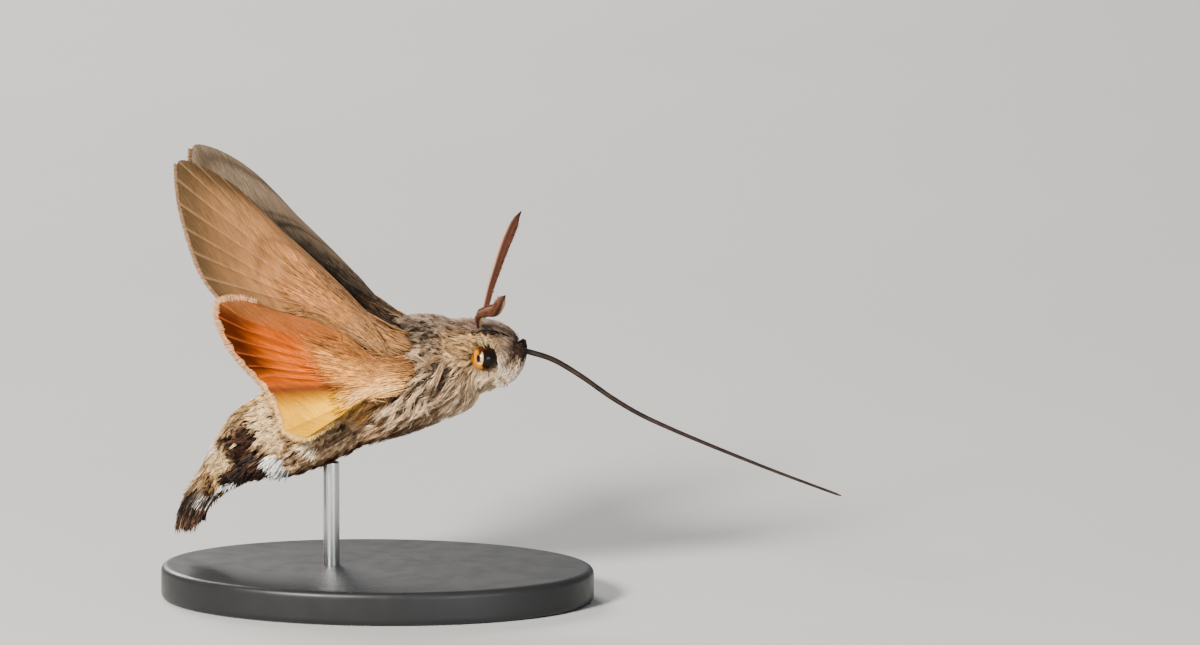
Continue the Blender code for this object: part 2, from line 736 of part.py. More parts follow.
def side_tufts(neighbours, chance):
    """The tufts that stand out from the sides of the hind rings of the abdomen."""
    locks = []
    for ring, length in zip(TUFT_RINGS, TUFT_LENGTH):
        start = RING_FIRST + RING_PITCH * (ring + 1) - TUFT_BACK
        for degrees in TUFT_ANGLES:
            reach = length * chance.uniform(0.88, 1.1)
            angle = degrees + chance.uniform(-3, 3)
            for side in SIDES.values():
                locks += grown_clear(neighbours, lambda share: coat_lock(
                    start, angle, side, reach * share, TUFT_WIDTH, TUFT_LIFT, 4))
    return locks


def tail_vanes(neighbours, chance):
    """The long flat scales of the tail fan, in rows that overlap like tiles."""
    vanes = []
    for count, root, middle, tip, near, far in TAIL_ROWS:
        for k in range(count):
            across = 2 * k / (count - 1) - 1
            ends = [Vector((x, 0, z)) * MM for x, z in (root, middle, tip)]
            shorter = 0.12 * across * across + chance.uniform(0, 0.06)
            ends[2] = lerp(ends[2], ends[1], shorter)
            spread = (near * 0.8, lerp(near, far, 0.6), far)
            droop = VANE_DROOP * across * across
            points = [end + Vector((0, across * out, -droop)) for end, out in zip(ends, spread)]
            facing = Vector((-0.75, 0.35 * across, 0.45)).normalized()
            made = lock(points, facing, VANE_WIDTH, VANE_THICK)
            if neighbours.clear_of(made.data):
                vanes.append(made)
            else:
                bpy.data.objects.remove(made)
    return vanes


def stand(finish_base, finish_rod):
    """An oval base with a rounded edge, and a rod up to the belly."""
    bpy.ops.mesh.primitive_cylinder_add(vertices=44, radius=0.5, depth=BASE_HEIGHT,
                                        location=(0, 0, BASE_HEIGHT / 2))
    base = bpy.context.object
    base.name = base.data.name = "stand_base"
    base.data.transform(Matrix.Diagonal((BASE_LENGTH, BASE_WIDTH, 1, 1)))
    edge = base.modifiers.new("edge", "BEVEL")
    edge.width = BASE_EDGE
    edge.segments = 2
    edge.limit_method = "ANGLE"
    keep(base, finish_base)
    along = min((k * 0.05 * MM for k in range(400)), key=lambda s: abs(TORSO.skin(s, 180).x - ROD_X))
    top = TORSO.skin(along, 180).z - GAP - ROD_RADIUS * BELLY_SLOPE
    foot = BASE_HEIGHT + GAP
    bpy.ops.mesh.primitive_cylinder_add(vertices=16, radius=ROD_RADIUS, depth=top - foot,
                                        location=(ROD_X, 0, (top + foot) / 2))
    rod = bpy.context.object
    rod.name = rod.data.name = "stand_rod"
    keep(rod, finish_rod)


def main():
    for obj in list(bpy.data.objects):
        bpy.data.objects.remove(obj)
    bpy.context.scene.collection.children.link(bpy.data.collections.new("hawk_moth"))

    coat = material("grey_coat", (0.36, 0.31, 0.25), 0.9)
    belly = material("dark_coat", (0.20, 0.15, 0.11), 0.9)
    horn = material("dark_horn", (0.10, 0.05, 0.03), 0.35)
    feeler = material("rusty_feeler", (0.36, 0.17, 0.10), 0.6)
    brown_wing = material("brown_wing", (0.42, 0.28, 0.18), 0.7)
    orange_wing = material("orange_wing", (0.85, 0.38, 0.06), 0.7)
    eye_glass = material("eye", (0.06, 0.03, 0.02), 0.1)
    wood = material("dark_wood", (0.09, 0.05, 0.03), 0.4)
    steel = material("steel", (0.55, 0.55, 0.56), 0.25, 1.0)

    for word, side in SIDES.items():
        keep(eye(f"eye_{word}", side), eye_glass)
        keep(palp(f"palp_{word}", side), coat)
        antenna(f"antenna_{word}", side, feeler)
        forewing(f"forewing_{word}", side, brown_wing)
        hindwing(f"hindwing_{word}", side, orange_wing)
        for pair, route in LEG_ROUTES.items():
            leg(f"leg_{pair}_{word}", route, side, horn)
    proboscis("proboscis", horn)
    limbs = list(bpy.data.collections["hawk_moth"].objects)

    chance = random.Random(SEED)
    thorax = torso_piece("thorax", HEAD_CUT, THORAX_CUT)
    abdomen = torso_piece("abdomen", THORAX_CUT, TAIL_CUT)
    tail = torso_piece("tail_fan", TAIL_CUT, None)

    head = torso_piece("head", None, HEAD_CUT)
    cutters = [eye("socket", side, GAP) for side in SIDES.values()]
    cutters += [palp("recess", side, GAP) for side in SIDES.values()]
    boolean(head, "DIFFERENCE", cutters)
    near_head = Neighbours([*limbs, thorax])
    boolean(head, "UNION", [made for patch in HEAD_COATS for made in coat_locks(patch, near_head, chance)])
    keep(head, coat)

    near_abdomen = Neighbours([*limbs, thorax, tail])
    boolean(abdomen, "UNION", side_tufts(near_abdomen, chance))
    keep(abdomen, belly)
    boolean(tail, "UNION", tail_vanes(Neighbours([abdomen]), chance))
    keep(tail, belly)

    near_thorax = Neighbours([*limbs, head, abdomen])
    grown = [made for patch in THORAX_COATS for made in coat_locks(patch, near_thorax, chance)]
    boolean(thorax, "UNION", grown)
    keep(thorax, coat)
    stand(wood, steel)


main()
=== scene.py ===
"""A hummingbird hawk moth, life size, hovering over a small oval stand: the looks of every surface.

Frame: metres, +X the way the moth faces, +Y its left, +Z up, the origin under the middle of the base.
Lengths in the classes are millimetres, and become metres by MM where points are made.
"""

import logging
import math
from dataclasses import dataclass, field
from enum import Enum
from typing import Iterable, Sequence

import bmesh
import bpy
import numpy as np
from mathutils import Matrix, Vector


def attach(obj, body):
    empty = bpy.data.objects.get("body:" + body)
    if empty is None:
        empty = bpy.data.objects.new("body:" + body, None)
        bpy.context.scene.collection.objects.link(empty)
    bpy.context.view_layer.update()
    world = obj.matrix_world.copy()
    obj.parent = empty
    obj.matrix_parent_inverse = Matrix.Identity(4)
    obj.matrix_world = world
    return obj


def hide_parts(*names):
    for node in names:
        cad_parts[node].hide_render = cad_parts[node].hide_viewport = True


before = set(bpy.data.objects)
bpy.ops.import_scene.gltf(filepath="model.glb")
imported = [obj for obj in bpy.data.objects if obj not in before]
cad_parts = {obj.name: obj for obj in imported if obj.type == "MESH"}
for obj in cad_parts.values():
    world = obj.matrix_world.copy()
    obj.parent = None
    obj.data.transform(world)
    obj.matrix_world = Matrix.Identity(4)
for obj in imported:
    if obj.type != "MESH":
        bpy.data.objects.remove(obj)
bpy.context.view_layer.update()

MM = 0.001
SEED = 11
BAKE_MAP = "OFBake"
PATCH_SIZE = 0.003
STEPS = np.arange(4) / 3
Tint = tuple[float, float, float]
Array = np.ndarray
LOG = logging.getLogger("hawk_moth")


class Side(Enum):
    """A side of the moth, by the sign of its Y."""

    RIGHT = -1
    LEFT = 1

    @property
    def word(self) -> str:
        """The side as node names have it."""
        return self.name.lower()


class Lie(Enum):
    """The way a patch of coat lies."""

    BACK = "towards the tail"
    FROM_EYE = "away from the eye"


class Face(Enum):
    """A face of a wing."""

    UPPER = 0
    UNDER = 1


def cubic(p0: Array, p1: Array, p2: Array, p3: Array, t: Array) -> Array:
    """The smooth curve from p1 to p2 at t, with p0 before them and p3 after."""
    return 0.5 * (2 * p1 + (p2 - p0) * t + (2 * p0 - 5 * p1 + 4 * p2 - p3) * t * t
                  + (3 * p1 - p0 - 3 * p2 + p3) * t ** 3)


def curve_through(points: Array, shares: Array) -> Array:
    """A smooth curve through rows of points.

    Args:
        points: The rows that the curve passes through.
        shares: Where it is read, from 0 at the first row to 1 at the last.

    Returns:
        One row for each share.
    """
    last = len(points) - 1
    place = np.clip(shares, 0.0, 1.0) * last
    k = np.minimum(place.astype(int), last - 1)
    t = (place - k).reshape(-1, *[1] * (points.ndim - 1))
    padded = np.concatenate([[2 * points[0] - points[1]], points, [2 * points[-1] - points[-2]]])
    p0, p1, p2, p3 = (padded[k + n] for n in range(4))
    return cubic(p0, p1, p2, p3, t)


def even_curve(points: Array, count: int) -> Array:
    """Points spaced evenly along the smooth curve through points.

    Args:
        points: The rows that the curve passes through.
        count: How many points are wanted.

    Returns:
        An array of count rows.
    """
    fine = curve_through(points, np.linspace(0, 1, 401))
    run = np.concatenate([[0.0], np.cumsum(np.linalg.norm(np.diff(fine, axis=0), axis=1))])
    wanted = np.linspace(0, run[-1], count)
    return np.stack([np.interp(wanted, run, fine[:, k]) for k in range(fine.shape[1])], 1)


def unit(vectors: Array) -> Array:
    """The vectors, each made 1 long."""
    return vectors / np.maximum(np.linalg.norm(vectors, axis=-1, keepdims=True), 1e-12)


def blend(a: Array, b: Array, share: Array) -> Array:
    """The rows share of the way from a to b."""
    return a + (b - a) * share


def washed(base: Array | Tint, *layers: tuple[Array | Tint, Array]) -> Array:
    """Tints with colours laid over them in order.

    Args:
        base: The tints underneath, or one tint.
        layers: A colour, or one for each row, and how much of it each row takes.

    Returns:
        A tint for each row.
    """
    for colour, share in layers:
        base = blend(np.asarray(base), np.asarray(colour), share[:, None])
    return base


def soft_step(values: Array, low: float, high: float) -> Array:
    """0 below low, 1 above high, and a smooth rise between them."""
    t = np.clip((values - low) / (high - low), 0, 1)
    return t * t * (3 - 2 * t)


def table(shares: Array, rows: Sequence[tuple[float, float]]) -> Array:
    """Reads a table of (share, value) rows by straight lines."""
    return np.interp(shares, [row[0] for row in rows], [row[1] for row in rows])


def spread_evenly(count: int) -> Array:
    """Places in the unit square that fill it evenly without rows.

    Args:
        count: How many places.

    Returns:
        An array of count rows of two shares.
    """
    root = 1.3247179572447460
    steps = np.array([1 / root, 1 / root ** 2])
    return (0.5 + np.arange(1, count + 1)[:, None] * steps) % 1.0


@dataclass
class BodyForm:
    """The bent body: a spine in the plane Y = 0 with an oval section at each place along it.

    A place on it is a distance along the spine and a turn about it, in radians. The turn is 0 on the
    back, a quarter turn on the flank and a half turn on the belly, and is positive on the left.
    """

    sections: tuple[tuple[float, float, float, float], ...] = (
        (10.40, 18.85, 0.95, 0.85), (9.55, 18.75, 1.62, 1.45), (8.05, 18.45, 2.25, 2.00),
        (6.75, 18.20, 2.45, 2.25), (5.51, 17.75, 3.30, 2.95), (3.31, 17.25, 3.80, 3.50),
        (0.88, 16.15, 3.70, 3.50), (-1.69, 15.03, 3.45, 3.35), (-4.19, 13.83, 3.50, 3.50),
        (-6.47, 12.56, 3.30, 3.55), (-8.82, 11.59, 2.80, 3.20), (-10.50, 10.32, 2.00, 2.60),
        (-11.84, 8.90, 1.35, 2.00), (-12.95, 7.35, 0.80, 1.70),
    )
    cap: float = 1.1
    ring_first: float = 11.35
    ring_pitch: float = 2.05
    ring_step: float = 0.045
    depths: tuple[tuple[float, float], ...] = (
        (0.0, 0.12), (1.5, 0.20), (4.0, 0.28), (5.5, 0.42), (9.5, 0.42), (12.0, 0.30), (22.0, 0.26), (26.0, 0.15))
    length: float = field(init=False)
    run: Array = field(init=False)
    rows: Array = field(init=False)

    def __post_init__(self) -> None:
        """Reads the sections into a fine table of places along the spine."""
        self.rows = curve_through(np.array(self.sections), np.linspace(0, 1, 601))
        steps = np.hypot(np.diff(self.rows[:, 0]), np.diff(self.rows[:, 1]))
        self.run = np.concatenate([[0.0], np.cumsum(steps)])
        self.length = float(self.run[-1])

    def row(self, along: Array) -> Array:
        """Centre x, centre z, half height and half width at distances along the spine."""
        return np.stack([np.interp(along, self.run, self.rows[:, k]) for k in range(4)], -1)

    def spine(self, along: Array) -> Array:
        """Points of the spine."""
        row = self.row(along)
        return np.stack([row[..., 0], np.zeros_like(row[..., 0]), row[..., 1]], -1)

    def tangent(self, along: Array) -> Array:
        """The way the spine runs, from the face to the tail."""
        return unit(self.spine(along + 0.4) - self.spine(along - 0.4))

    def dorsal(self, along: Array) -> Array:
        """The way the back faces, square to the spine."""
        ahead = self.tangent(along)
        return np.stack([ahead[..., 2], np.zeros_like(ahead[..., 0]), -ahead[..., 0]], -1)

    def size(self, along: Array) -> Array:
        """The share of its section that the body has: less near either end, more at the rings' edges."""
        near = np.clip(np.minimum(along, self.length - along) / self.cap, 0, 1)
        place = ((along - self.ring_first) / self.ring_pitch) % 1.0
        swell = np.where(along < self.ring_first, 1.0, 1.0 + self.ring_step * (place - 0.5))
        return np.sqrt(np.maximum(0, 1 - (1 - near) ** 2)) * swell

    def depth(self, along: Array) -> Array:
        """How deep the skin lies under the coat."""
        return table(along, self.depths)

    def facing(self, along: Array, turn: Array) -> Array:
        """The outward direction of the surface."""
        row = self.row(along)
        out = self.dorsal(along) * (np.cos(turn) / row[..., 2])[..., None]
        out[..., 1] += np.sin(turn) / row[..., 3]
        return unit(out)

    def points(self, along: Array, turn: Array, raised: Array) -> Array:
        """Points of the surface, raised along its outward direction, in millimetres."""
        row = self.row(along)
        size = self.size(along)
        at = self.spine(along) + self.dorsal(along) * (row[..., 2] * size * np.cos(turn))[..., None]
        at[..., 1] += row[..., 3] * size * np.sin(turn)
        return at + self.facing(along, turn) * np.asarray(raised)[..., None]

    def radius(self, along: Array) -> Array:
        """The mean radius of the section."""
        row = self.row(along)
        return (row[..., 2] + row[..., 3]) / 2 * np.maximum(self.size(along), 0.15)

    def nearest(self, points: Array, count: int) -> tuple[Array, Array]:
        """The places along the spine that are nearest to points.

        Args:
            points: Rows of x, y and z, in millimetres.
            count: How many places are compared.

        Returns:
            The distances along the spine and how far the points lie above it.
        """
        samples = np.linspace(0, self.length, count)
        line = self.spine(samples)
        far = (points[:, None, 0] - line[None, :, 0]) ** 2 + (points[:, None, 2] - line[None, :, 2]) ** 2
        along = samples[np.argmin(far, axis=1)]
        return along, np.einsum("ij,ij->i", points - self.spine(along), self.dorsal(along))

    def place_of(self, points: Array) -> tuple[Array, Array]:
        """The place along the spine and the turn of points near the body.

        Args:
            points: Rows of x, y and z, in millimetres.

        Returns:
            The distances along the spine and the turns.
        """
        along, up = self.nearest(points, 540)
        row, size = self.row(along), np.maximum(self.size(along), 0.05)
        return along, np.arctan2(points[:, 1] / (row[:, 3] * size), up / (row[:, 2] * size))

    def cleared(self, points: Array, side: Side, margin: float) -> Array:
        """The points, moved out sideways where they are nearer to the body than margin.

        Args:
            points: Rows of x, y and z, in millimetres.
            side: The side they lie on.
            margin: The room wanted between them and the body.

        Returns:
            The moved points.
        """
        along, up = self.nearest(points, 121)
        row, size = self.row(along), 1 + self.ring_step / 2
        up = up / (row[:, 2] * size + margin)
        least = (row[:, 3] * size + margin) * np.sqrt(np.maximum(0, 1 - up * up))
        moved = points.copy()
        out = side.value * np.maximum(side.value * points[:, 1], least)
        moved[:, 1] = np.where(np.abs(up) < 1, out, points[:, 1])
        return moved


@dataclass(frozen=True)
class Marking:
    """A soft-edged oval of coat colour on the body, the same on both sides.

    Its dark and pale hairs are mixed: share is how pale the mix is, and contrast how far locks differ.
    """

    along: float
    degrees: float
    half_along: float
    half_degrees: float
    dark: Tint
    pale: Tint
    share: float = 0.5
    contrast: float = 0.25
    strength: float = 1.0
    edge: float = 0.3


@dataclass(frozen=True)
class BodyMarkings:
    """The colours of the body's coat and of the skin under it, laid over one another in order."""

    ground: Marking = Marking(0, 0, 0, 0, (0.035, 0.019, 0.010), (0.66, 0.38, 0.18), 0.45, 0.35)
    markings: tuple[Marking, ...] = (
        Marking(1.2, 0, 3.2, 46, (0.030, 0.019, 0.013), (0.42, 0.27, 0.18), 0.45, 0.40),
        Marking(1.0, 10, 1.6, 36, (0.028, 0.021, 0.021), (0.38, 0.27, 0.215), 0.50, 0.40),
        Marking(0.9, 78, 1.3, 30, (0.060, 0.032, 0.020), (0.66, 0.41, 0.23), 0.52, 0.40),
        Marking(2.6, 80, 1.7, 34, (0.085, 0.042, 0.018), (0.99, 0.62, 0.28), 0.62, 0.45),
        Marking(2.0, 150, 2.9, 44, (0.26, 0.13, 0.070), (0.99, 0.74, 0.46), 0.84, 0.40),
        Marking(1.7, 43, 1.3, 3.5, (0.005, 0.004, 0.003), (0.014, 0.010, 0.008), 0.3, 0.1, 1.0, 0.2),
        Marking(6.8, 0, 3.6, 70, (0.008, 0.006, 0.005), (0.42, 0.300, 0.205), 0.30, 0.60),
        Marking(7.6, 30, 1.0, 14, (0.004, 0.003, 0.002), (0.030, 0.018, 0.011), 0.20, 0.15, 1.0, 0.4),
        Marking(7.4, 102, 3.8, 44, (0.012, 0.005, 0.003), (1.0, 0.70, 0.44), 0.60, 1.10),
        Marking(9.3, 66, 1.8, 24, (0.34, 0.13, 0.030), (0.92, 0.43, 0.12), 0.62, 0.40),
        Marking(5.6, 158, 1.9, 34, (0.15, 0.065, 0.038), (0.99, 0.72, 0.46), 0.64, 0.65),
        Marking(12.8, 104, 2.9, 20, (0.50, 0.20, 0.035), (1.0, 0.50, 0.11), 0.82, 0.40),
        Marking(14.8, 126, 4.3, 29, (0.050, 0.020, 0.010), (1.0, 0.66, 0.36), 0.72, 0.75),
        Marking(14.0, 20, 4.5, 60, (0.030, 0.015, 0.009), (0.52, 0.30, 0.14), 0.42, 0.40),
        Marking(15.5, 180, 10.5, 27, (0.010, 0.003, 0.002), (0.13, 0.042, 0.020), 0.28, 0.45, 1.0, 0.35),
        Marking(18.4, 10, 1.9, 52, (0.20, 0.085, 0.030), (1.0, 0.64, 0.28), 0.62, 0.60, 0.9),
        Marking(18.8, 72, 1.25, 46, (0.86, 0.50, 0.21), (1.0, 0.71, 0.38), 0.97, 0.15, 1.0, 0.22),
        Marking(20.7, 126, 1.9, 36, (0.004, 0.002, 0.002), (0.09, 0.040, 0.022), 0.14, 0.30),
        Marking(20.5, 78, 0.85, 29, (0.004, 0.002, 0.002), (0.16, 0.070, 0.040), 0.12, 0.25, 1.0, 0.15),
        Marking(20.8, 12, 1.2, 30, (0.10, 0.045, 0.022), (0.90, 0.58, 0.27), 0.50, 0.60, 0.9),
        Marking(21.8, 58, 0.62, 34, (0.004, 0.002, 0.002), (0.16, 0.070, 0.040), 0.12, 0.25, 1.0, 0.15),
        Marking(21.25, 60, 0.10, 26, (0.55, 0.30, 0.12), (0.99, 0.72, 0.36), 0.85, 0.1, 0.95, 0.3),
        Marking(22.9, 66, 0.85, 36, (0.40, 0.19, 0.070), (1.0, 0.74, 0.38), 0.86, 0.45),
        Marking(22.7, 20, 0.45, 16, (0.60, 0.44, 0.30), (0.99, 0.88, 0.70), 0.8, 0.2),
        Marking(23.0, 118, 1.7, 24, (0.004, 0.003, 0.003), (0.05, 0.03, 0.02), 0.15, 0.20),
        Marking(24.8, 0, 1.2, 60, (0.020, 0.009, 0.005), (0.60, 0.34, 0.15), 0.40, 0.75),
        Marking(24.6, 84, 1.0, 28, (0.30, 0.13, 0.040), (0.99, 0.64, 0.27), 0.66, 0.60),
        Marking(24.2, 130, 0.7, 8, (0.70, 0.66, 0.62), (0.99, 0.96, 0.90), 0.8, 0.1, 1.0, 0.3),
        Marking(25.6, 110, 0.9, 60, (0.008, 0.004, 0.003), (0.14, 0.070, 0.040), 0.25, 0.45),
    )

    def read(self, along: Array, turn: Array) -> tuple[Array, Array, Array, Array]:
        """The coat's colours at places on the body.

        Args:
            along: Distances along the spine.
            turn: Turns about it, in radians.

        Returns:
            The dark hairs' tint, the pale hairs' tint, how pale the mix is and its contrast.
        """
        degrees = np.degrees(np.abs((np.asarray(turn) + np.pi) % (2 * np.pi) - np.pi))
        count = len(degrees)
        dark = np.tile(self.ground.dark, (count, 1))
        pale = np.tile(self.ground.pale, (count, 1))
        share, contrast = np.full(count, self.ground.share), np.full(count, self.ground.contrast)
        for mark in self.markings:
            far = np.hypot((along - mark.along) / mark.half_along, (degrees - mark.degrees) / mark.half_degrees)
            weight = mark.strength * (1 - soft_step(far, 1 - mark.edge, 1 + mark.edge))
            dark = blend(dark, np.array(mark.dark), weight[:, None])
            pale = blend(pale, np.array(mark.pale), weight[:, None])
            share = blend(share, mark.share, weight)
            contrast = blend(contrast, mark.contrast, weight)
        return dark, pale, share, contrast


def clear_selection() -> None:
    """Leaves edit mode and deselects every object."""
    if bpy.context.object and bpy.context.object.mode != "OBJECT":
        bpy.ops.object.mode_set(mode="OBJECT")
    bpy.ops.object.select_all(action="DESELECT")


def close_edit() -> None:
    """Turns the edited mesh's faces outwards and leaves edit mode."""
    bpy.ops.mesh.select_all(action="SELECT")
    bpy.ops.mesh.normals_make_consistent(inside=False)
    bpy.ops.object.mode_set(mode="OBJECT")


def finish_edit(obj: bpy.types.Object) -> bpy.types.Object:
    """Leaves edit mode and shades the piece smooth."""
    close_edit()
    bpy.ops.object.shade_smooth()
    return obj


def start_piece(name: str) -> bpy.types.Object:
    """Names the primitive just added and opens it in edit mode."""
    obj = bpy.context.object
    obj.name = obj.data.name = name
    bpy.ops.object.mode_set(mode="EDIT")
    return obj


def loft(name: str, rings: Array) -> bpy.types.Object:
    """A closed body run through rings of points: a filled circle, extruded from ring to ring.

    Args:
        name: The object's name.
        rings: Rings of points in millimetres, as (ring, point, 3).

    Returns:
        The object. Its points carry the attributes along, from 0 to 1, and around, from 0 to 1.
    """
    clear_selection()
    bpy.ops.mesh.primitive_circle_add(vertices=rings.shape[1], radius=MM, fill_type="NGON")
    obj = start_piece(name)
    bm = bmesh.from_edit_mesh(obj.data)
    bm.verts.layers.float.new("along")
    bm.verts.layers.float.new("around")
    for number, ring in enumerate(rings):
        if number:
            bpy.ops.mesh.extrude_region_move()
        bm = bmesh.from_edit_mesh(obj.data)
        along, around = bm.verts.layers.float["along"], bm.verts.layers.float["around"]
        face = next(face for face in bm.faces if face.select)
        for k, (vert, point) in enumerate(zip(face.verts, ring)):
            vert.co = point * MM
            vert[along] = number / (len(rings) - 1)
            vert[around] = k / len(ring)
        bmesh.update_edit_mesh(obj.data)
    return finish_edit(obj)


def tube_rings(path: Array, radii: Array, sides: int, flat: float = 1.0, towards: Array | None = None,
               section: Array | None = None) -> Array:
    """Rings of points round a path.

    Args:
        path: The points that the tube follows.
        radii: Its radius at each.
        sides: Points in a ring.
        flat: Its thickness along towards, as a share of its width.
        towards: The direction that the first point of each ring faces, or nothing for any.
        section: A factor for each point of a ring, for a section that isn't an oval.

    Returns:
        The rings, as (ring, point, 3).
    """
    ahead = unit(np.gradient(path, axis=0))
    first = np.array([0.0, 0.0, 1.0]) if towards is None else towards
    turn = np.linspace(0, 2 * np.pi, sides, endpoint=False)
    factor = np.ones(sides) if section is None else section
    across = unit(np.cross(ahead, first))
    up = np.cross(across, ahead)
    return (path[:, None] + up[:, None] * (np.cos(turn) * factor * flat)[None, :, None] * radii[:, None, None]
            + across[:, None] * (np.sin(turn) * factor)[None, :, None] * radii[:, None, None])


def sheet(name: str, upper: Array, under: Array) -> bpy.types.Object:
    """A thin closed sheet: a grid laid on the upper points, extruded to the under points.

    Args:
        name: The object's name.
        upper: Points of one face in millimetres, as (row, column, 3).
        under: Points of the other face.

    Returns:
        The object. Its points carry the attributes row, column and face.
    """
    rows, columns = upper.shape[:2]
    clear_selection()
    bpy.ops.mesh.primitive_grid_add(x_subdivisions=columns - 1, y_subdivisions=rows - 1, size=1)
    obj = start_piece(name)
    bm = bmesh.from_edit_mesh(obj.data)
    for layer in ("row", "column", "face"):
        bm.verts.layers.float.new(layer)
    row, column, face = (bm.verts.layers.float[layer] for layer in ("row", "column", "face"))
    order = sorted(bm.verts, key=lambda v: (round(v.co.y, 5), round(v.co.x, 5)))
    for k, vert in enumerate(order):
        vert[row], vert[column] = divmod(k, columns)
        vert.co = upper[k // columns, k % columns] * MM
    bmesh.update_edit_mesh(obj.data)
    bpy.ops.mesh.extrude_region_move()
    bm = bmesh.from_edit_mesh(obj.data)
    row, column, face = (bm.verts.layers.float[layer] for layer in ("row", "column", "face"))
    for vert in bm.verts:
        if vert.select:
            vert[face] = 1.0
            vert.co = under[int(vert[row]), int(vert[column])] * MM
    bmesh.update_edit_mesh(obj.data)
    return finish_edit(obj)


def read_layer(obj: bpy.types.Object, name: str) -> Array:
    """The values that a mesh's points carry under a name."""
    found = np.zeros(len(obj.data.vertices), dtype=np.float32)
    obj.data.attributes[name].data.foreach_get("value", found)
    return found


def read_points(obj: bpy.types.Object) -> Array:
    """A mesh's points, in millimetres."""
    flat = np.zeros(len(obj.data.vertices) * 3, dtype=np.float32)
    obj.data.vertices.foreach_get("co", flat)
    return flat.reshape(-1, 3) / MM


def paint(obj: bpy.types.Object, tints: Array) -> None:
    """Stores a tint at each point of a mesh, as the attribute tint."""
    layer = obj.data.color_attributes.new(name="tint", type="FLOAT_COLOR", domain="POINT")
    rgba = np.ones((len(tints), 4), dtype=np.float32)
    rgba[:, :3] = np.clip(tints, 0, 1)
    layer.data.foreach_set("color", rgba.ravel())


def lay_map(obj: bpy.types.Object, name: str, u: Array, v: Array) -> None:
    """Gives a mesh a UV map from one u and one v for each point.

    Args:
        obj: The mesh object.
        name: The map's name.
        u: Values across, one for each point.
        v: Values along.
    """
    mesh = obj.data
    corner = np.zeros(len(mesh.loops), dtype=np.int32)
    mesh.loops.foreach_get("vertex_index", corner)
    pair = np.stack([u[corner], v[corner]], 1)
    layer = mesh.uv_layers.new(name=name)
    layer.data.foreach_set("uv", pair.astype(np.float32).ravel())


def joined(obj: bpy.types.Object, others: Iterable[bpy.types.Object]) -> bpy.types.Object:
    """Joins the others to obj as loose parts of one mesh."""
    clear_selection()
    for other in [*others, obj]:
        other.select_set(True)
    bpy.context.view_layer.objects.active = obj
    bpy.ops.object.join()
    return obj


def dress(obj: bpy.types.Object, finish: bpy.types.Material, slot: str, *nodes: str) -> bpy.types.Object:
    """Gives a finished piece its material, its body and the nodes that it stands for.

    Args:
        obj: The piece.
        finish: Its material.
        slot: The record's material slot; not used.
        nodes: The solids that it replaces.

    Returns:
        The piece.
    """
    obj.data.materials.clear()
    obj.data.materials.append(finish)
    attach(obj, "root")
    if nodes:
        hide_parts(*nodes)
    LOG.info("%s: %d faces", obj.name, len(obj.data.polygons))
    return obj


@dataclass
class Strands:
    """Strands that are ready to be made one mesh. Each has four points from its root to its tip."""

    paths: Array
    facing: Array
    width: Array
    thick: Array
    # root_tint is painted darker than tip_tint, as shade near the skin.
    root_tint: Array
    tip_tint: Array
    place: Array

    def kept(self, keep: Array) -> "Strands":
        """The strands where keep is true."""
        return Strands(*(getattr(self, name)[keep] for name in self.__dataclass_fields__))

    @staticmethod
    def together(parts: Sequence["Strands"]) -> "Strands":
        """Several lots of strands as one."""
        names = Strands.__dataclass_fields__
        return Strands(*(np.concatenate([getattr(part, name) for part in parts]) for name in names))


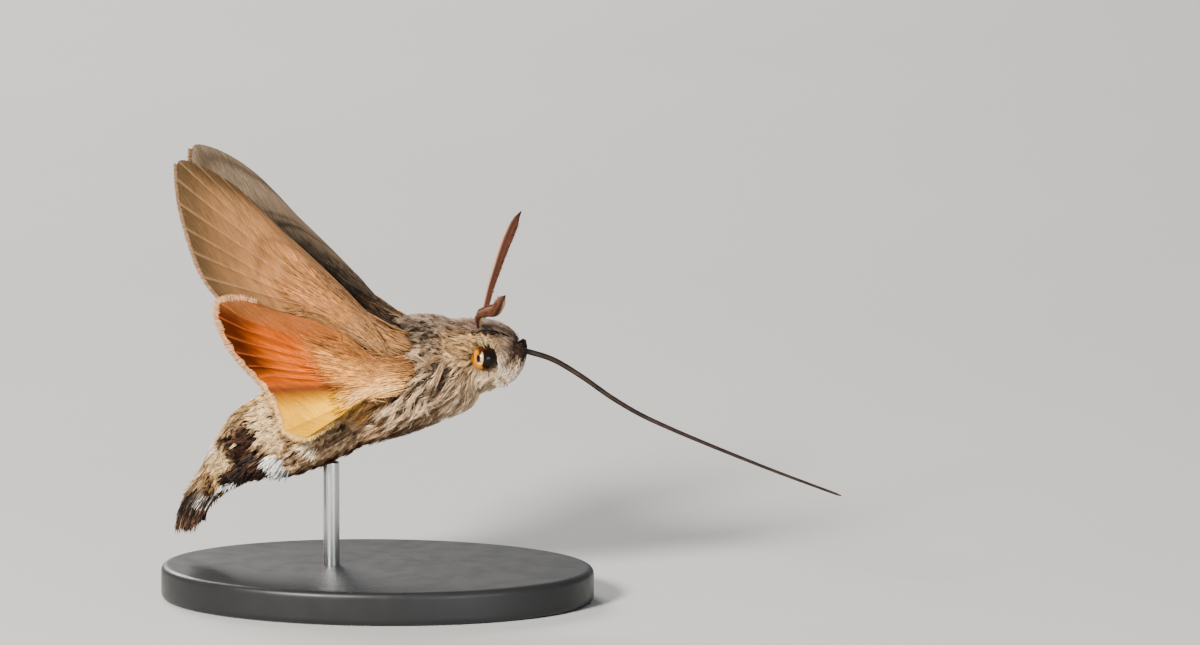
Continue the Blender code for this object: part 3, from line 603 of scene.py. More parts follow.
class StrandModel:
    """One strand, modelled once: flat below, keeled above, closed at its root and drawn to a point."""

    section: tuple[tuple[float, float], ...] = ((-0.5, 0.0), (0.5, 0.0), (0.0, 1.0))
    widths: tuple[float, ...] = (0.6, 1.0, 0.78, 0.0)

    def __init__(self) -> None:
        """Models the strand and reads its points and faces."""
        clear_selection()
        bpy.ops.mesh.primitive_circle_add(vertices=3, radius=1, fill_type="NGON")
        obj = start_piece("strand")
        for number, width in enumerate(self.widths):
            if number:
                bpy.ops.mesh.extrude_region_move()
            bm = bmesh.from_edit_mesh(obj.data)
            face = next(face for face in bm.faces if face.select)
            for vert, (x, y) in zip(face.verts, self.section):
                vert.co = (x * width, y * width, number)
            bmesh.update_edit_mesh(obj.data)
        bpy.ops.mesh.merge(type="CENTER")
        finish_edit(obj)
        self.points = np.array([vert.co[:] for vert in obj.data.vertices])
        self.corners = [list(face.vertices) for face in obj.data.polygons]
        bpy.data.objects.remove(obj)

    def build(self, name: str, strands: Strands) -> bpy.types.Object:
        """Copies the strand to every place and joins the copies in one mesh.

        Args:
            name: The object's name.
            strands: Where the copies go, and their sizes and tints.

        Returns:
            The object, with the attribute tint and its bake map.
        """
        count, ring = len(strands.paths), np.rint(self.points[:, 2]).astype(int)
        paths = strands.paths
        ahead = unit(np.stack([paths[:, 1] - paths[:, 0], paths[:, 2] - paths[:, 0],
                               paths[:, 3] - paths[:, 1], paths[:, 3] - paths[:, 2]], 1))
        across = unit(np.cross(ahead, strands.facing[:, None]))
        up = np.cross(across, ahead)
        sized = self.points[None, :, :2] * np.stack([strands.width, strands.thick], 1)[:, None]
        points = paths[:, ring] + across[:, ring] * sized[..., :1] + up[:, ring] * sized[..., 1:2]
        share = ring / 3
        # The tint runs from the root's to the tip's; the darker roots are painted shade among the strands.
        tint = blend(strands.root_tint[:, None], strands.tip_tint[:, None], share[None, :, None])
        mesh = bpy.data.meshes.new(name)
        per_strand = np.concatenate([np.array(face) for face in self.corners])
        sizes = np.array([len(face) for face in self.corners])
        corners = (per_strand[None] + np.arange(count)[:, None] * len(self.points)).ravel()
        totals = np.tile(sizes, count)
        mesh.vertices.add(count * len(self.points))
        mesh.vertices.foreach_set("co", (points * MM).astype(np.float32).ravel())
        mesh.loops.add(len(corners))
        mesh.loops.foreach_set("vertex_index", corners.astype(np.int32))
        mesh.polygons.add(len(totals))
        mesh.polygons.foreach_set("loop_start", np.concatenate([[0], np.cumsum(totals)[:-1]]).astype(np.int32))
        mesh.update(calc_edges=True)
        mesh.polygons.foreach_set("use_smooth", np.ones(len(totals), dtype=bool))
        obj = bpy.data.objects.new(name, mesh)
        bpy.context.scene.collection.objects.link(obj)
        paint(obj, tint.reshape(-1, 3))
        u = strands.place[:, None, 0] + self.points[None, :, 0] * PATCH_SIZE
        v = strands.place[:, None, 1] + (share[None] - 0.5) * PATCH_SIZE
        lay_map(obj, BAKE_MAP, u.ravel(), v.ravel())
        return obj


@dataclass(frozen=True)
class CoatPatch:
    """A stretch of coat on both sides of the body: where its clumps grow and how their strands lie.

    Lengths are millimetres and angles are degrees. Lean turns the lie towards the belly, gather draws a
    clump's strands together at their tips, and lift raises them over the coat's surface. Tone darkens a
    lower layer wherever its marking isn't pale, as painted shade under the locks, and each strand's root
    is painted darker than its tip, as shade deep in the coat.
    """

    name: str
    along: tuple[float, float]
    degrees: tuple[float, float]
    clumps: int
    strands: int
    length: float
    width: float
    spread: float
    gather: float
    lift: float
    lean: float = 0.0
    ragged: float = 12.0
    lie: Lie = Lie.BACK
    # Tone is painted shade: below 1 it darkens a lower layer under the locks.
    tone: float = 1.0
    tips: float = 0.35
    wave: float = 0.10
    steps: tuple[float, float, float, float] = (0.0, 0.34, 0.68, 1.0)
    thick: float = 0.03

    def grow(self, body: BodyForm, markings: BodyMarkings, chance: np.random.Generator) -> Strands:
        """The patch's strands.

        Args:
            body: The body that they grow on.
            markings: Its colours.
            chance: The source of their unevenness.

        Returns:
            The strands.
        """
        spots = spread_evenly(self.clumps)
        along = blend(*self.along, spots[:, 0])
        signed = spots[:, 1] * 2 - 1
        radius = body.radius(along)
        keep = chance.random(len(along)) < radius / radius.max()
        along, signed, radius = along[keep], signed[keep], radius[keep]
        degrees = blend(*self.degrees, np.abs(signed))
        heading = self.headings(along, degrees, radius, chance)
        clump = np.repeat(np.arange(len(along)), self.strands)
        count = len(clump)
        disc, angle = np.sqrt(chance.random(count)) * self.spread, chance.random(count) * 2 * np.pi
        root_a, root_w = disc * np.cos(angle), disc * np.sin(angle)
        length = self.length * chance.uniform(0.72, 1.15, count)
        course = heading[clump] + chance.normal(0, self.ragged * 0.35, count) * np.pi / 180
        bend = (chance.normal(0, self.wave, len(along))[clump] + chance.normal(0, 0.05, count)) * length
        shares = np.array(self.steps)
        a = (along[clump] + root_a)[:, None] - (root_a * self.gather)[:, None] * shares
        w = root_w[:, None] * (1 - self.gather * shares)
        a = a + (length * np.cos(course))[:, None] * shares
        w = w + (length * np.sin(course))[:, None] * shares + bend[:, None] * np.sin(shares * 5.2)
        a = np.clip(a, 0.02, body.length - 0.02)
        turn = np.sign(signed)[clump][:, None] * (np.radians(degrees)[clump][:, None] + w / radius[clump][:, None])
        depth = body.depth(a[:, 0])
        lift = self.lift * chance.uniform(0.0, 1.25, count)
        raised = np.stack([-depth - 0.05, -0.35 * depth + 0.35 * lift, lift * 0.9, lift], 1)
        raised[:, 3] += chance.normal(0, 0.04, count)
        paths = body.points(a, turn, raised)
        dark, pale, share, contrast = markings.read(along, np.radians(degrees))
        shift = chance.normal(0, 1, len(along))
        mix = np.clip(share[clump] + contrast[clump] * (shift[clump] + 0.35 * chance.normal(0, 1, count)), 0, 1)
        hair = blend(dark[clump], pale[clump], mix[:, None])
        # Painted shade: tone darkens the strands where their marking isn't pale; the random factor is their own
        # uneven tone.
        nap_shade_and_tone = blend(self.tone, 1.0, share[clump] ** 3) * chance.uniform(0.85, 1.1, count)
        nap_shade_and_tone = nap_shade_and_tone[:, None]
        place = np.stack([(turn[:, 0] / (2 * np.pi)) % 1.0,
                          (a[:, 0] - self.along[0] + 0.3) / (self.along[1] - self.along[0] + 0.6)], 1)
        # Each root is painted at three tenths of the strand's tint: painted shade deep in the coat.
        return Strands(paths, body.facing(a[:, 1], turn[:, 1]), self.width * chance.uniform(0.7, 1.2, count),
                       np.full(count, self.thick), hair * nap_shade_and_tone * 0.3,
                       blend(hair, pale[clump], self.tips) * nap_shade_and_tone, place)

    def headings(self, along: Array, degrees: Array, radius: Array, chance: np.random.Generator) -> Array:
        """The way each clump points: 0 is towards the tail and a quarter turn towards the belly.

        Args:
            along: The clumps' distances along the spine.
            degrees: Their angles from the back.
            radius: The body's radius there.
            chance: The source of their unevenness.

        Returns:
            The angles, in radians.
        """
        swirl = 5 * np.sin(along * 2.1 + degrees * 0.07) + 4 * np.sin(along * 0.9 - degrees * 0.11)
        ragged = chance.normal(0, self.ragged, len(along)) + swirl
        if self.lie is Lie.BACK:
            return np.radians(self.lean + ragged)
        ahead, down = along - HeadSizes.eye_along, np.radians(degrees - 90) * radius
        far = np.hypot(ahead, down) + 1e-6
        back = 0.25 + 0.5 * soft_step(far, 1.0, 2.6)
        return np.arctan2(down / far, ahead / far + back) + np.radians(ragged * 0.6)


@dataclass(frozen=True)
class HeadSizes:
    """Sizes of the eyes, in millimetres."""

    eye_along: float = 2.12
    eye_centre: tuple[float, float, float] = (8.15, 1.55, 18.35)
    eye_half: tuple[float, float, float] = (1.00, 0.95, 0.93)


class Nodes:
    """Adds nodes to one shader tree and joins them."""

    def __init__(self, tree: bpy.types.NodeTree) -> None:
        """Keeps the tree that is worked on."""
        self.tree = tree

    def feed(self, node: bpy.types.Node, inputs: dict) -> bpy.types.Node:
        """Gives each named input of a node its value or another node's socket.

        Args:
            node: The node.
            inputs: A value or a socket for each named input.

        Returns:
            The node.
        """
        for name, value in inputs.items():
            if isinstance(value, bpy.types.NodeSocket):
                self.tree.links.new(value, node.inputs[name])
            else:
                node.inputs[name].default_value = value
        return node

    def add(self, kind: str, inputs: dict | None = None, **settings: object) -> bpy.types.Node:
        """Adds a node.

        Args:
            kind: The node's type.
            inputs: A value or another node's socket for each named input.
            settings: The node's own properties.

        Returns:
            The node.
        """
        node = self.tree.nodes.new(kind)
        for name, value in settings.items():
            setattr(node, name, value)
        return self.feed(node, inputs or {})

    def sum(self, operation: str, a: object, b: object = 0.0, clamp: bool = False) -> bpy.types.NodeSocket:
        """The result of one calculation with two values."""
        return self.add("ShaderNodeMath", {0: a, 1: b}, operation=operation, use_clamp=clamp).outputs[0]

    def scaled(self, value: object, factor: float, offset: float) -> bpy.types.NodeSocket:
        """A value times a factor, with an offset added."""
        return self.sum("ADD", self.sum("MULTIPLY", value, factor), offset)

    def vector(self, operation: str, a: object, b: object) -> bpy.types.NodeSocket:
        """The result of one calculation with two vectors."""
        return self.add("ShaderNodeVectorMath", {0: a, 1: b}, operation=operation).outputs[0]

    def mix(self, share: object, low: object, high: object) -> bpy.types.NodeSocket:
        """A colour share of the way from low to high."""
        inputs = {0: share, 6: low, 7: high}
        return self.add("ShaderNodeMix", inputs, data_type="RGBA").outputs[2]

    def times(self, colour: object, factor: object) -> bpy.types.NodeSocket:
        """A colour made brighter or darker by a factor."""
        return self.add("ShaderNodeVectorMath", {0: colour, "Scale": factor}, operation="SCALE").outputs[0]

    def here(self) -> bpy.types.NodeSocket:
        """The place on the piece, in metres."""
        return self.add("ShaderNodeTexCoord").outputs["Object"]

    def attribute(self, name: str, output: str = "Color") -> bpy.types.NodeSocket:
        """A value that the piece's mesh carries."""
        return self.add("ShaderNodeAttribute", attribute_name=name).outputs[output]

    def bump(self, height: object, distance: float, strength: float, invert: bool = False) -> bpy.types.NodeSocket:
        """The surface's direction where a height stands out from it."""
        inputs = {"Height": height, "Distance": distance, "Strength": strength}
        return self.add("ShaderNodeBump", inputs, invert=invert).outputs[0]

    def effect(self, name: str, inputs: dict, output: str = "Value") -> bpy.types.NodeSocket:
        """One output of a shared effect."""
        return self.add("ShaderNodeGroup", inputs, node_tree=bpy.data.node_groups[name]).outputs[output]

    def mottle(self, place: object, scale: float, low: float, high: float) -> bpy.types.NodeSocket:
        """Uneven patches between a low and a high value."""
        return self.effect("Mottle", {"Place": place, "Scale": scale, "Low": low, "High": high})

    def streak(self, place: object, fine: float, drawn: float, low: float, high: float) -> bpy.types.NodeSocket:
        """Mottling drawn out along the first axis of the place."""
        return self.effect("Streak", {"Place": place, "Fine": fine, "Drawn Out": drawn, "Low": low, "High": high})


class Effects:
    """The shader node groups that several finishes share."""

    @staticmethod
    def start(name: str, values: dict[str, float | None], outputs: Sequence[str]) -> tuple[Nodes, dict, dict]:
        """Opens a new group.

        Args:
            name: The group's name.
            values: Its inputs. None is a vector, and a number is a value with that default.
            outputs: The names of its outputs, all values.

        Returns:
            Its tree, its inputs' sockets and its outputs' sockets.
        """
        tree = bpy.data.node_groups.new(name, "ShaderNodeTree")
        for key, value in values.items():
            kind = "NodeSocketVector" if value is None else "NodeSocketFloat"
            socket = tree.interface.new_socket(name=key, in_out="INPUT", socket_type=kind)
            if value is not None:
                socket.default_value = value
        for key in outputs:
            tree.interface.new_socket(name=key, in_out="OUTPUT", socket_type="NodeSocketFloat")
        nodes = Nodes(tree)
        source, sink = nodes.add("NodeGroupInput"), nodes.add("NodeGroupOutput")
        return nodes, source.outputs, sink.inputs

    @staticmethod
    def uneven(nodes: Nodes, place: object, scale: object, detail: float, given: dict) -> bpy.types.NodeSocket:
        """Noise spread between a group's low and high values.

        Args:
            nodes: The group's tree.
            place: Where it is read.
            scale: How fine it is.
            detail: How rough it is.
            given: The sockets of the group's inputs.

        Returns:
            The value's socket.
        """
        noise = nodes.add("ShaderNodeTexNoise", {"Vector": place, "Scale": scale, "Detail": detail})
        spread = {"Value": noise.outputs[0], "From Min": 0.3, "From Max": 0.7, "To Min": given["Low"],
                  "To Max": given["High"]}
        return nodes.add("ShaderNodeMapRange", spread).outputs[0]

    @classmethod
    def mottle(cls) -> None:
        """Uneven patches between a low and a high value."""
        nodes, given, wanted = cls.start("Mottle", {"Place": None, "Scale": 1.0, "Low": 0.0, "High": 1.0}, ["Value"])
        nodes.tree.links.new(cls.uneven(nodes, given["Place"], given["Scale"], 3.0, given), wanted["Value"])

    @classmethod
    def streak(cls) -> None:
        """Mottling drawn out along the first axis of the place."""
        names = {"Place": None, "Fine": 1.0, "Drawn Out": 10.0, "Low": 0.0, "High": 1.0}
        nodes, given, wanted = cls.start("Streak", names, ["Value"])
        short = nodes.sum("DIVIDE", 1.0, given["Drawn Out"])
        scale = nodes.add("ShaderNodeCombineXYZ", {"X": short, "Y": 1.0, "Z": 1.0})
        place = nodes.vector("MULTIPLY", given["Place"], scale.outputs[0])
        nodes.tree.links.new(cls.uneven(nodes, place, given["Fine"], 2.0, given), wanted["Value"])

    @classmethod
    def spot(cls) -> None:
        """A soft-edged oval: 1 inside and 0 outside."""
        names = {"Place": None, "Centre": None, "Size": None, "Softness": 0.2}
        nodes, given, wanted = cls.start("Spot", names, ["Mask"])
        sized = nodes.vector("DIVIDE", nodes.vector("SUBTRACT", given["Place"], given["Centre"]), given["Size"])
        far = nodes.add("ShaderNodeVectorMath", {0: sized}, operation="LENGTH")
        near = nodes.sum("SUBTRACT", 1.0, given["Softness"])
        beyond = nodes.sum("ADD", 1.0, given["Softness"])
        mask = nodes.add("ShaderNodeMapRange", {"Value": far.outputs["Value"], "From Min": near, "From Max": beyond,
                                                "To Min": 1.0, "To Max": 0.0}, interpolation_type="SMOOTHSTEP")
        nodes.tree.links.new(mask.outputs[0], wanted["Mask"])

    @classmethod
    def tiles(cls) -> None:
        """Rows of small scales that overlap like tiles: their height and their own shades."""
        nodes, given, wanted = cls.start("Tiles", {"Place": None, "Length": 1.0, "Width": 0.5}, ["Height", "Shade"])
        size = nodes.add("ShaderNodeCombineXYZ", {"X": given["Length"], "Y": given["Width"], "Z": 1.0})
        place = nodes.vector("DIVIDE", given["Place"], size.outputs[0])
        cells = nodes.add("ShaderNodeTexVoronoi", {"Vector": place, "Scale": 1.0}, voronoi_dimensions="2D")
        split = nodes.add("ShaderNodeSeparateXYZ", {0: cells.outputs["Position"]})
        own = nodes.add("ShaderNodeSeparateXYZ", {0: place})
        rise = nodes.sum("SUBTRACT", own.outputs[0], split.outputs[0])
        height = nodes.sum("SUBTRACT", rise, nodes.sum("MULTIPLY", cells.outputs["Distance"], 0.8))
        tone = nodes.add("ShaderNodeSeparateColor", {0: cells.outputs["Color"]})
        nodes.tree.links.new(height, wanted["Height"])
        nodes.tree.links.new(tone.outputs[0], wanted["Shade"])

    @classmethod
    def build(cls) -> None:
        """Makes every group once."""
        for make in (cls.mottle, cls.streak, cls.spot, cls.tiles):
            make()


@dataclass(frozen=True)
class Finish:
    """A material. Each kind of finish says what feeds its shader."""

    name: str

    def material(self) -> bpy.types.Material:
        """Builds the material."""
        made = bpy.data.materials.new(self.name)
        made.use_nodes = True
        nodes = Nodes(made.node_tree)
        nodes.feed(made.node_tree.nodes["Principled BSDF"], self.inputs(nodes))
        return made

    def inputs(self, nodes: Nodes) -> dict:
        """What feeds the shader.

        Args:
            nodes: The material's tree.

        Returns:
            A socket, number or colour for each of the shader's inputs that the finish sets.
        """
        raise NotImplementedError


@dataclass(frozen=True)
class CoatFinish(Finish):
    """Hair and scales that carry their own tints, with a soft shine."""

    shine: float = 0.10
    low: float = 0.72
    high: float = 1.25
    grain: float = 2600.0
    rough: tuple[float, float, float] = (900.0, 0.50, 0.72)

    def inputs(self, nodes: Nodes) -> dict:
        """The strands' tints, mottled, and an uneven roughness."""
        place = nodes.here()
        shade = nodes.mottle(place, self.grain, self.low, self.high)
        return {"Base Color": nodes.times(nodes.attribute("tint"), shade),
                "Roughness": nodes.mottle(place, *self.rough), "Specular IOR Level": self.shine}


@dataclass(frozen=True)
class SkinFinish(Finish):
    """The close underfur: short nap in the coat's own markings, its tints painted dark as the shade between the
    hairs.
    """

    name: str = "underfur"
    nap: tuple[float, float] = (9000.0, 4.0)
    tone: tuple[float, float] = (0.7, 0.55)
    relief: tuple[float, float] = (0.00004, 0.8)
    rough: tuple[float, float, float] = (700.0, 0.7, 0.9)
    shine: float = 0.1

    def inputs(self, nodes: Nodes) -> dict:
        """The skin's tints in fine streaks that stand out as nap."""
        place = nodes.here()
        hair = nodes.streak(place, *self.nap, 0.0, 1.0)
        return {"Base Color": nodes.times(nodes.attribute("tint"), nodes.scaled(hair, *self.tone)),
                "Normal": nodes.bump(hair, *self.relief), "Roughness": nodes.mottle(place, *self.rough),
                "Specular IOR Level": self.shine}


@dataclass(frozen=True)
class WingFinish(Finish):
    """A scaled wing: rows of fine scales in streaks along the veins, nearly matt."""

    streak: float = 0.25
    shine: float = 0.04
    grain: tuple[float, float] = (7.0, 12.0)
    scale_size: tuple[float, float] = (0.13, 0.055)
    scale_tone: tuple[float, float] = (0.30, 0.85)
    clouds: tuple[float, float, float] = (0.9, 0.90, 1.08)
    relief: tuple[float, float] = (0.00002, 0.5)
    rough: tuple[float, float] = (0.2, 0.45)

    def inputs(self, nodes: Nodes) -> dict:
        """The wing's tints with its scales, read on the map that runs along the veins in millimetres."""
        lie = nodes.add("ShaderNodeUVMap", uv_map="lie").outputs[0]
        streak = nodes.streak(lie, *self.grain, 1 - self.streak, 1 + self.streak)
        tiles = {"Place": lie, "Length": self.scale_size[0], "Width": self.scale_size[1]}
        shade, height = nodes.effect("Tiles", tiles, "Shade"), nodes.effect("Tiles", tiles, "Height")
        factor = nodes.sum("MULTIPLY", streak, nodes.scaled(shade, *self.scale_tone))
        factor = nodes.sum("MULTIPLY", factor, nodes.mottle(lie, *self.clouds))
        return {"Base Color": nodes.times(nodes.attribute("tint"), factor),
                "Roughness": nodes.scaled(shade, *self.rough), "Normal": nodes.bump(height, *self.relief),
                "Specular IOR Level": self.shine}


@dataclass(frozen=True)
class EyeFinish(Finish):
    """A faceted eye: dark in front, amber at its hind rim, and a painted pale eye-shine round a black false pupil.

    A spot's numbers are its place ahead and up, its width and height, in shares of the eye's half
    width and half height, and the softness of its edge.
    """

    side: Side
    dark: Tint = (0.006, 0.003, 0.002)
    brown: Tint = (0.060, 0.014, 0.004)
    amber: Tint = (0.50, 0.165, 0.002)
    cream: Tint = (0.72, 0.42, 0.15)
    black: Tint = (0.004, 0.003, 0.003)
    # The cream spots are painted light: a pale eye-shine round the false pupil.
    spots: tuple[tuple[float, float, float, float, float, str], ...] = (
        (0.30, 0.10, 0.72, 0.80, 0.30, "dark"), (-0.72, 0.0, 0.42, 0.95, 0.25, "amber"),
        (-0.40, -0.62, 0.32, 0.24, 0.35, "amber"), (-0.10, 0.16, 0.11, 0.38, 0.45, "cream"),
        (-0.24, -0.30, 0.17, 0.12, 0.45, "cream"), (-0.78, 0.20, 0.06, 0.42, 0.50, "brown"),
        (-0.37, 0.10, 0.13, 0.32, 0.20, "black"),
    )
    spot_depth: float = 4.0
    facets: float = 17000.0
    facet_tone: tuple[float, float] = (1.12, 0.80)
    relief: tuple[float, float] = (0.00001, 0.25)
    rough: tuple[float, float] = (0.1, 0.10)

    def inputs(self, nodes: Nodes) -> dict:
        """The spots laid over one another in order, under fine facets and a thin clear coat."""
        place = nodes.here()
        x, y, z = HeadSizes.eye_centre
        half_x, half_y, half_z = HeadSizes.eye_half
        colour = (*self.brown, 1)
        for ahead, up, wide, tall, soft, tint in self.spots:
            centre = ((x + ahead * half_x) * MM, self.side.value * (y + half_y) * MM, (z + up * half_z) * MM)
            size = (wide * half_x * MM, self.spot_depth * MM, tall * half_z * MM)
            inputs = {"Place": place, "Centre": centre, "Size": size, "Softness": soft}
            colour = nodes.mix(nodes.effect("Spot", inputs, "Mask"), colour, (*getattr(self, tint), 1))
        # Painted shade: each facet is lighter in its middle and darker at its rim, where the facets meet.
        facets = nodes.add("ShaderNodeTexVoronoi", {"Vector": place, "Scale": self.facets}).outputs["Distance"]
        shade = nodes.add("ShaderNodeMapRange", {"Value": facets, "From Max": 0.7, "To Min": self.facet_tone[0],
                                                 "To Max": self.facet_tone[1]})
        return {"Base Color": nodes.times(colour, shade.outputs[0]), "Roughness": nodes.scaled(facets, *self.rough),
                "Normal": nodes.bump(facets, *self.relief, True), "Coat Weight": 0.12, "Coat Roughness": 0.03,
                "Specular IOR Level": 0.10}


@dataclass(frozen=True)
class HornFinish(Finish):
    """Smooth horn with fine rings across it."""

    dark: Tint
    pale: Tint
    low: float = 0.22
    high: float = 0.40
    rings: float = 90.0
    depth: float = 0.5
    tone_grain: float = 1500.0
    rough_grain: float = 2500.0
    ring_height: float = 0.00001

    def inputs(self, nodes: Nodes) -> dict:
        """Two tints mixed unevenly, paler on the rings."""
        place = nodes.here()
        tone = nodes.mottle(place, self.tone_grain, 0.0, 1.0)
        wave = nodes.sum("SINE", nodes.sum("MULTIPLY", nodes.attribute("along", "Fac"), self.rings * 2 * math.pi))
        ring = nodes.scaled(wave, 0.5, 0.5)
        share = nodes.sum("MULTIPLY", tone, nodes.scaled(ring, 0.5, 0.5), True)
        return {"Base Color": nodes.mix(share, (*self.dark, 1), (*self.pale, 1)),
                "Roughness": nodes.mottle(place, self.rough_grain, self.low, self.high),
                "Normal": nodes.bump(ring, self.ring_height, self.depth), "Coat Weight": 0.1, "Coat Roughness": 0.2,
                "Specular IOR Level": 0.3}


@dataclass(frozen=True)
class PaintFinish(Finish):
    """Satin dark paint over metal."""

    name: str = "satin_dark_paint"
    tint: Tint = (0.012, 0.012, 0.013)
    tone: tuple[float, float, float] = (140.0, 0.90, 1.10)
    rough: tuple[float, float, float] = (700.0, 0.34, 0.46)
    peel: tuple[float, float, float] = (2600.0, 0.0, 1.0)
    relief: tuple[float, float] = (0.00001, 0.25)

    def inputs(self, nodes: Nodes) -> dict:
        """One tint, uneven in tone and roughness, with the fine peel of dried paint."""
        place = nodes.here()
        return {"Base Color": nodes.times(self.tint, nodes.mottle(place, *self.tone)),
                "Roughness": nodes.mottle(place, *self.rough),
                "Normal": nodes.bump(nodes.mottle(place, *self.peel), *self.relief), "Specular IOR Level": 0.30}


@dataclass(frozen=True)
class SteelFinish(Finish):
    """Steel brushed along its length."""

    name: str = "brushed_rod_steel"
    lines: tuple[float, float] = (9000.0, 40.0)
    dark: Tint = (0.40, 0.41, 0.42)
    pale: Tint = (0.62, 0.62, 0.62)
    relief: tuple[float, float] = (0.00001, 0.2)
    rough: tuple[float, float] = (0.18, 0.20)

    def inputs(self, nodes: Nodes) -> dict:
        """Fine lines along the rod, in tone, roughness and relief."""
        turned = nodes.add("ShaderNodeMapping", {"Vector": nodes.here(), "Rotation": (0.0, math.pi / 2, 0.0)})
        lines = nodes.streak(turned.outputs[0], *self.lines, 0.0, 1.0)
        return {"Base Color": nodes.mix(lines, (*self.dark, 1), (*self.pale, 1)),
                "Roughness": nodes.scaled(lines, *self.rough), "Normal": nodes.bump(lines, *self.relief),
                "Metallic": 1.0}


@dataclass(frozen=True)
class FloorFinish(Finish):
    """A plain pale painted surface."""

    name: str = "pale_floor"
    tint: Tint = (0.44, 0.445, 0.44)
    tone: tuple[float, float, float] = (14.0, 0.98, 1.02)

    def inputs(self, nodes: Nodes) -> dict:
        """One tint with a faint unevenness."""
        return {"Base Color": nodes.times(self.tint, nodes.mottle(nodes.here(), *self.tone)), "Roughness": 0.8,
                "Specular IOR Level": 0.2}


@dataclass(frozen=True)
class Palps:
    """The two feelers that make the snout, rising in front of the face."""

    path: tuple[tuple[float, float, float], ...] = (
        (8.75, 1.05, 16.35), (9.55, 1.12, 17.05), (10.12, 1.10, 17.90), (10.80, 0.88, 19.35))
    half_width: float = 0.52
    half_depth: float = 0.78
    skin_depth: float = 0.10
    strands: int = 2300
    bridge_hairs: int = 620
    brow_hairs: int = 620
    reach: float = 3.6

    def frame_at(self, side: Side, shares: Array) -> tuple[Array, Array, Array, Array]:
        """The middle line and its axes.

        Args:
            side: Which palp.
            shares: Where, from its foot to its tip.

        Returns:
            Points, the way ahead, the way of its width and the way of its depth.
        """
        line = np.array([(x, side.value * y, z) for x, y, z in self.path])
        at = curve_through(line, shares)
        ahead = unit(curve_through(line, shares + 0.02) - curve_through(line, shares - 0.02))
        deep = unit(np.cross(ahead, np.array([0.0, 1.0, 0.0])))
        return at, ahead, np.cross(deep, ahead), deep

    def points(self, side: Side, shares: Array, turn: Array, raised: Array) -> Array:
        """Points of a palp's surface. A turn of 0 faces left and a quarter turn faces back."""
        at, _, wide, deep = self.frame_at(side, shares)
        size = np.maximum(np.sin(np.pi * np.clip(shares, 0, 1)), 0.0) ** 0.6
        return (at + wide * (np.cos(turn) * (self.half_width * size + raised))[..., None]
                + deep * (np.sin(turn) * (self.half_depth * size + raised))[..., None])

    def facing(self, side: Side, shares: Array, turn: Array) -> Array:
        """The outward direction of a palp's surface."""
        wide, deep = self.frame_at(side, shares)[2:]
        return unit(wide * (np.cos(turn) / self.half_width)[..., None]
                    + deep * (np.sin(turn) / self.half_depth)[..., None])

    def core(self, side: Side) -> bpy.types.Object:
        """One palp's bare form."""
        shares = np.linspace(0.01, 0.99, 22)
        turn = np.linspace(0, 2 * np.pi, 20, endpoint=False)
        grid = np.meshgrid(shares, turn, indexing="ij")
        flat = self.points(side, grid[0].ravel(), grid[1].ravel(), np.full(grid[0].size, -self.skin_depth))
        return loft("palp_core", flat.reshape(len(shares), len(turn), 3))

    def coat(self, side: Side, chance: np.random.Generator) -> Strands:
        """One palp's scales: white at its foot and front, grey-brown on its side, black-brown at its tip."""
        spots = spread_evenly(self.strands)
        share = 0.04 + 0.94 * spots[:, 0] ** 0.9
        turn = (spots[:, 1] * 2 - 1) * np.pi
        count = len(share)
        low = share < 0.24
        length = np.where(low, 0.60, 0.46) * chance.uniform(0.7, 1.2, count)
        way = np.where(low, -0.30, 1.0)
        shares = share[:, None] + (way * length / self.reach)[:, None] * STEPS
        turns = turn[:, None] + chance.normal(0, 0.12, count)[:, None] * STEPS
        lift = np.where(low, 0.26, 0.07) * chance.uniform(0.1, 1.2, count)
        raised = np.stack([np.full(count, -self.skin_depth - 0.03), 0.3 * lift, 0.8 * lift, lift], 1)
        over = np.maximum(shares - 1, 0)
        paths = self.points(side, np.minimum(shares, 0.99).ravel(), turns.ravel(), raised.ravel())
        paths = paths.reshape(count, 4, 3)
        ahead = self.frame_at(side, np.full(count, 0.98))[1]
        paths = paths + ahead[:, None] * (over * self.reach * 0.25)[..., None]
        hair = self.tints(share, np.clip(-np.sin(turn), 0, 1), chance)
        place = np.stack([(turn / (2 * np.pi)) % 1.0 * 0.5 + (0.5 if side is Side.LEFT else 0.0), share], 1)
        # The scales' roots are painted at four tenths of their tint: painted shade deep in the coat.
        return Strands(paths, self.facing(side, np.clip(share + 0.05, 0, 0.98), turn),
                       chance.uniform(0.045, 0.085, count), np.full(count, 0.025), hair * 0.4, hair, place)

    @staticmethod
    def tints(share: Array, front: Array, chance: np.random.Generator) -> Array:
        """The hair's tints: white below, grey-brown above and black-brown at the tip.

        Args:
            share: Places from the palp's foot to its tip.
            front: How far they face ahead, from 0 to 1.
            chance: The source of their unevenness.

        Returns:
            A tint for each hair.
        """
        count = len(share)
        noise = chance.normal(0, 1, count)
        mix = np.clip(0.5 + 0.38 * chance.normal(0, 1, count), 0, 1)
        pale = washed((0.50, 0.34, 0.23), ((0.99, 0.86, 0.68), mix))
        black = washed((0.006, 0.004, 0.003), ((0.09, 0.045, 0.030), mix ** 2))
        return washed((0.045, 0.025, 0.016), ((0.60, 0.42, 0.27), mix),
                      (pale, 1 - soft_step(share + 0.07 * noise - 0.22 * front, 0.30, 0.52)),
                      (black, soft_step(share + 0.05 * noise, 0.60, 0.74)))

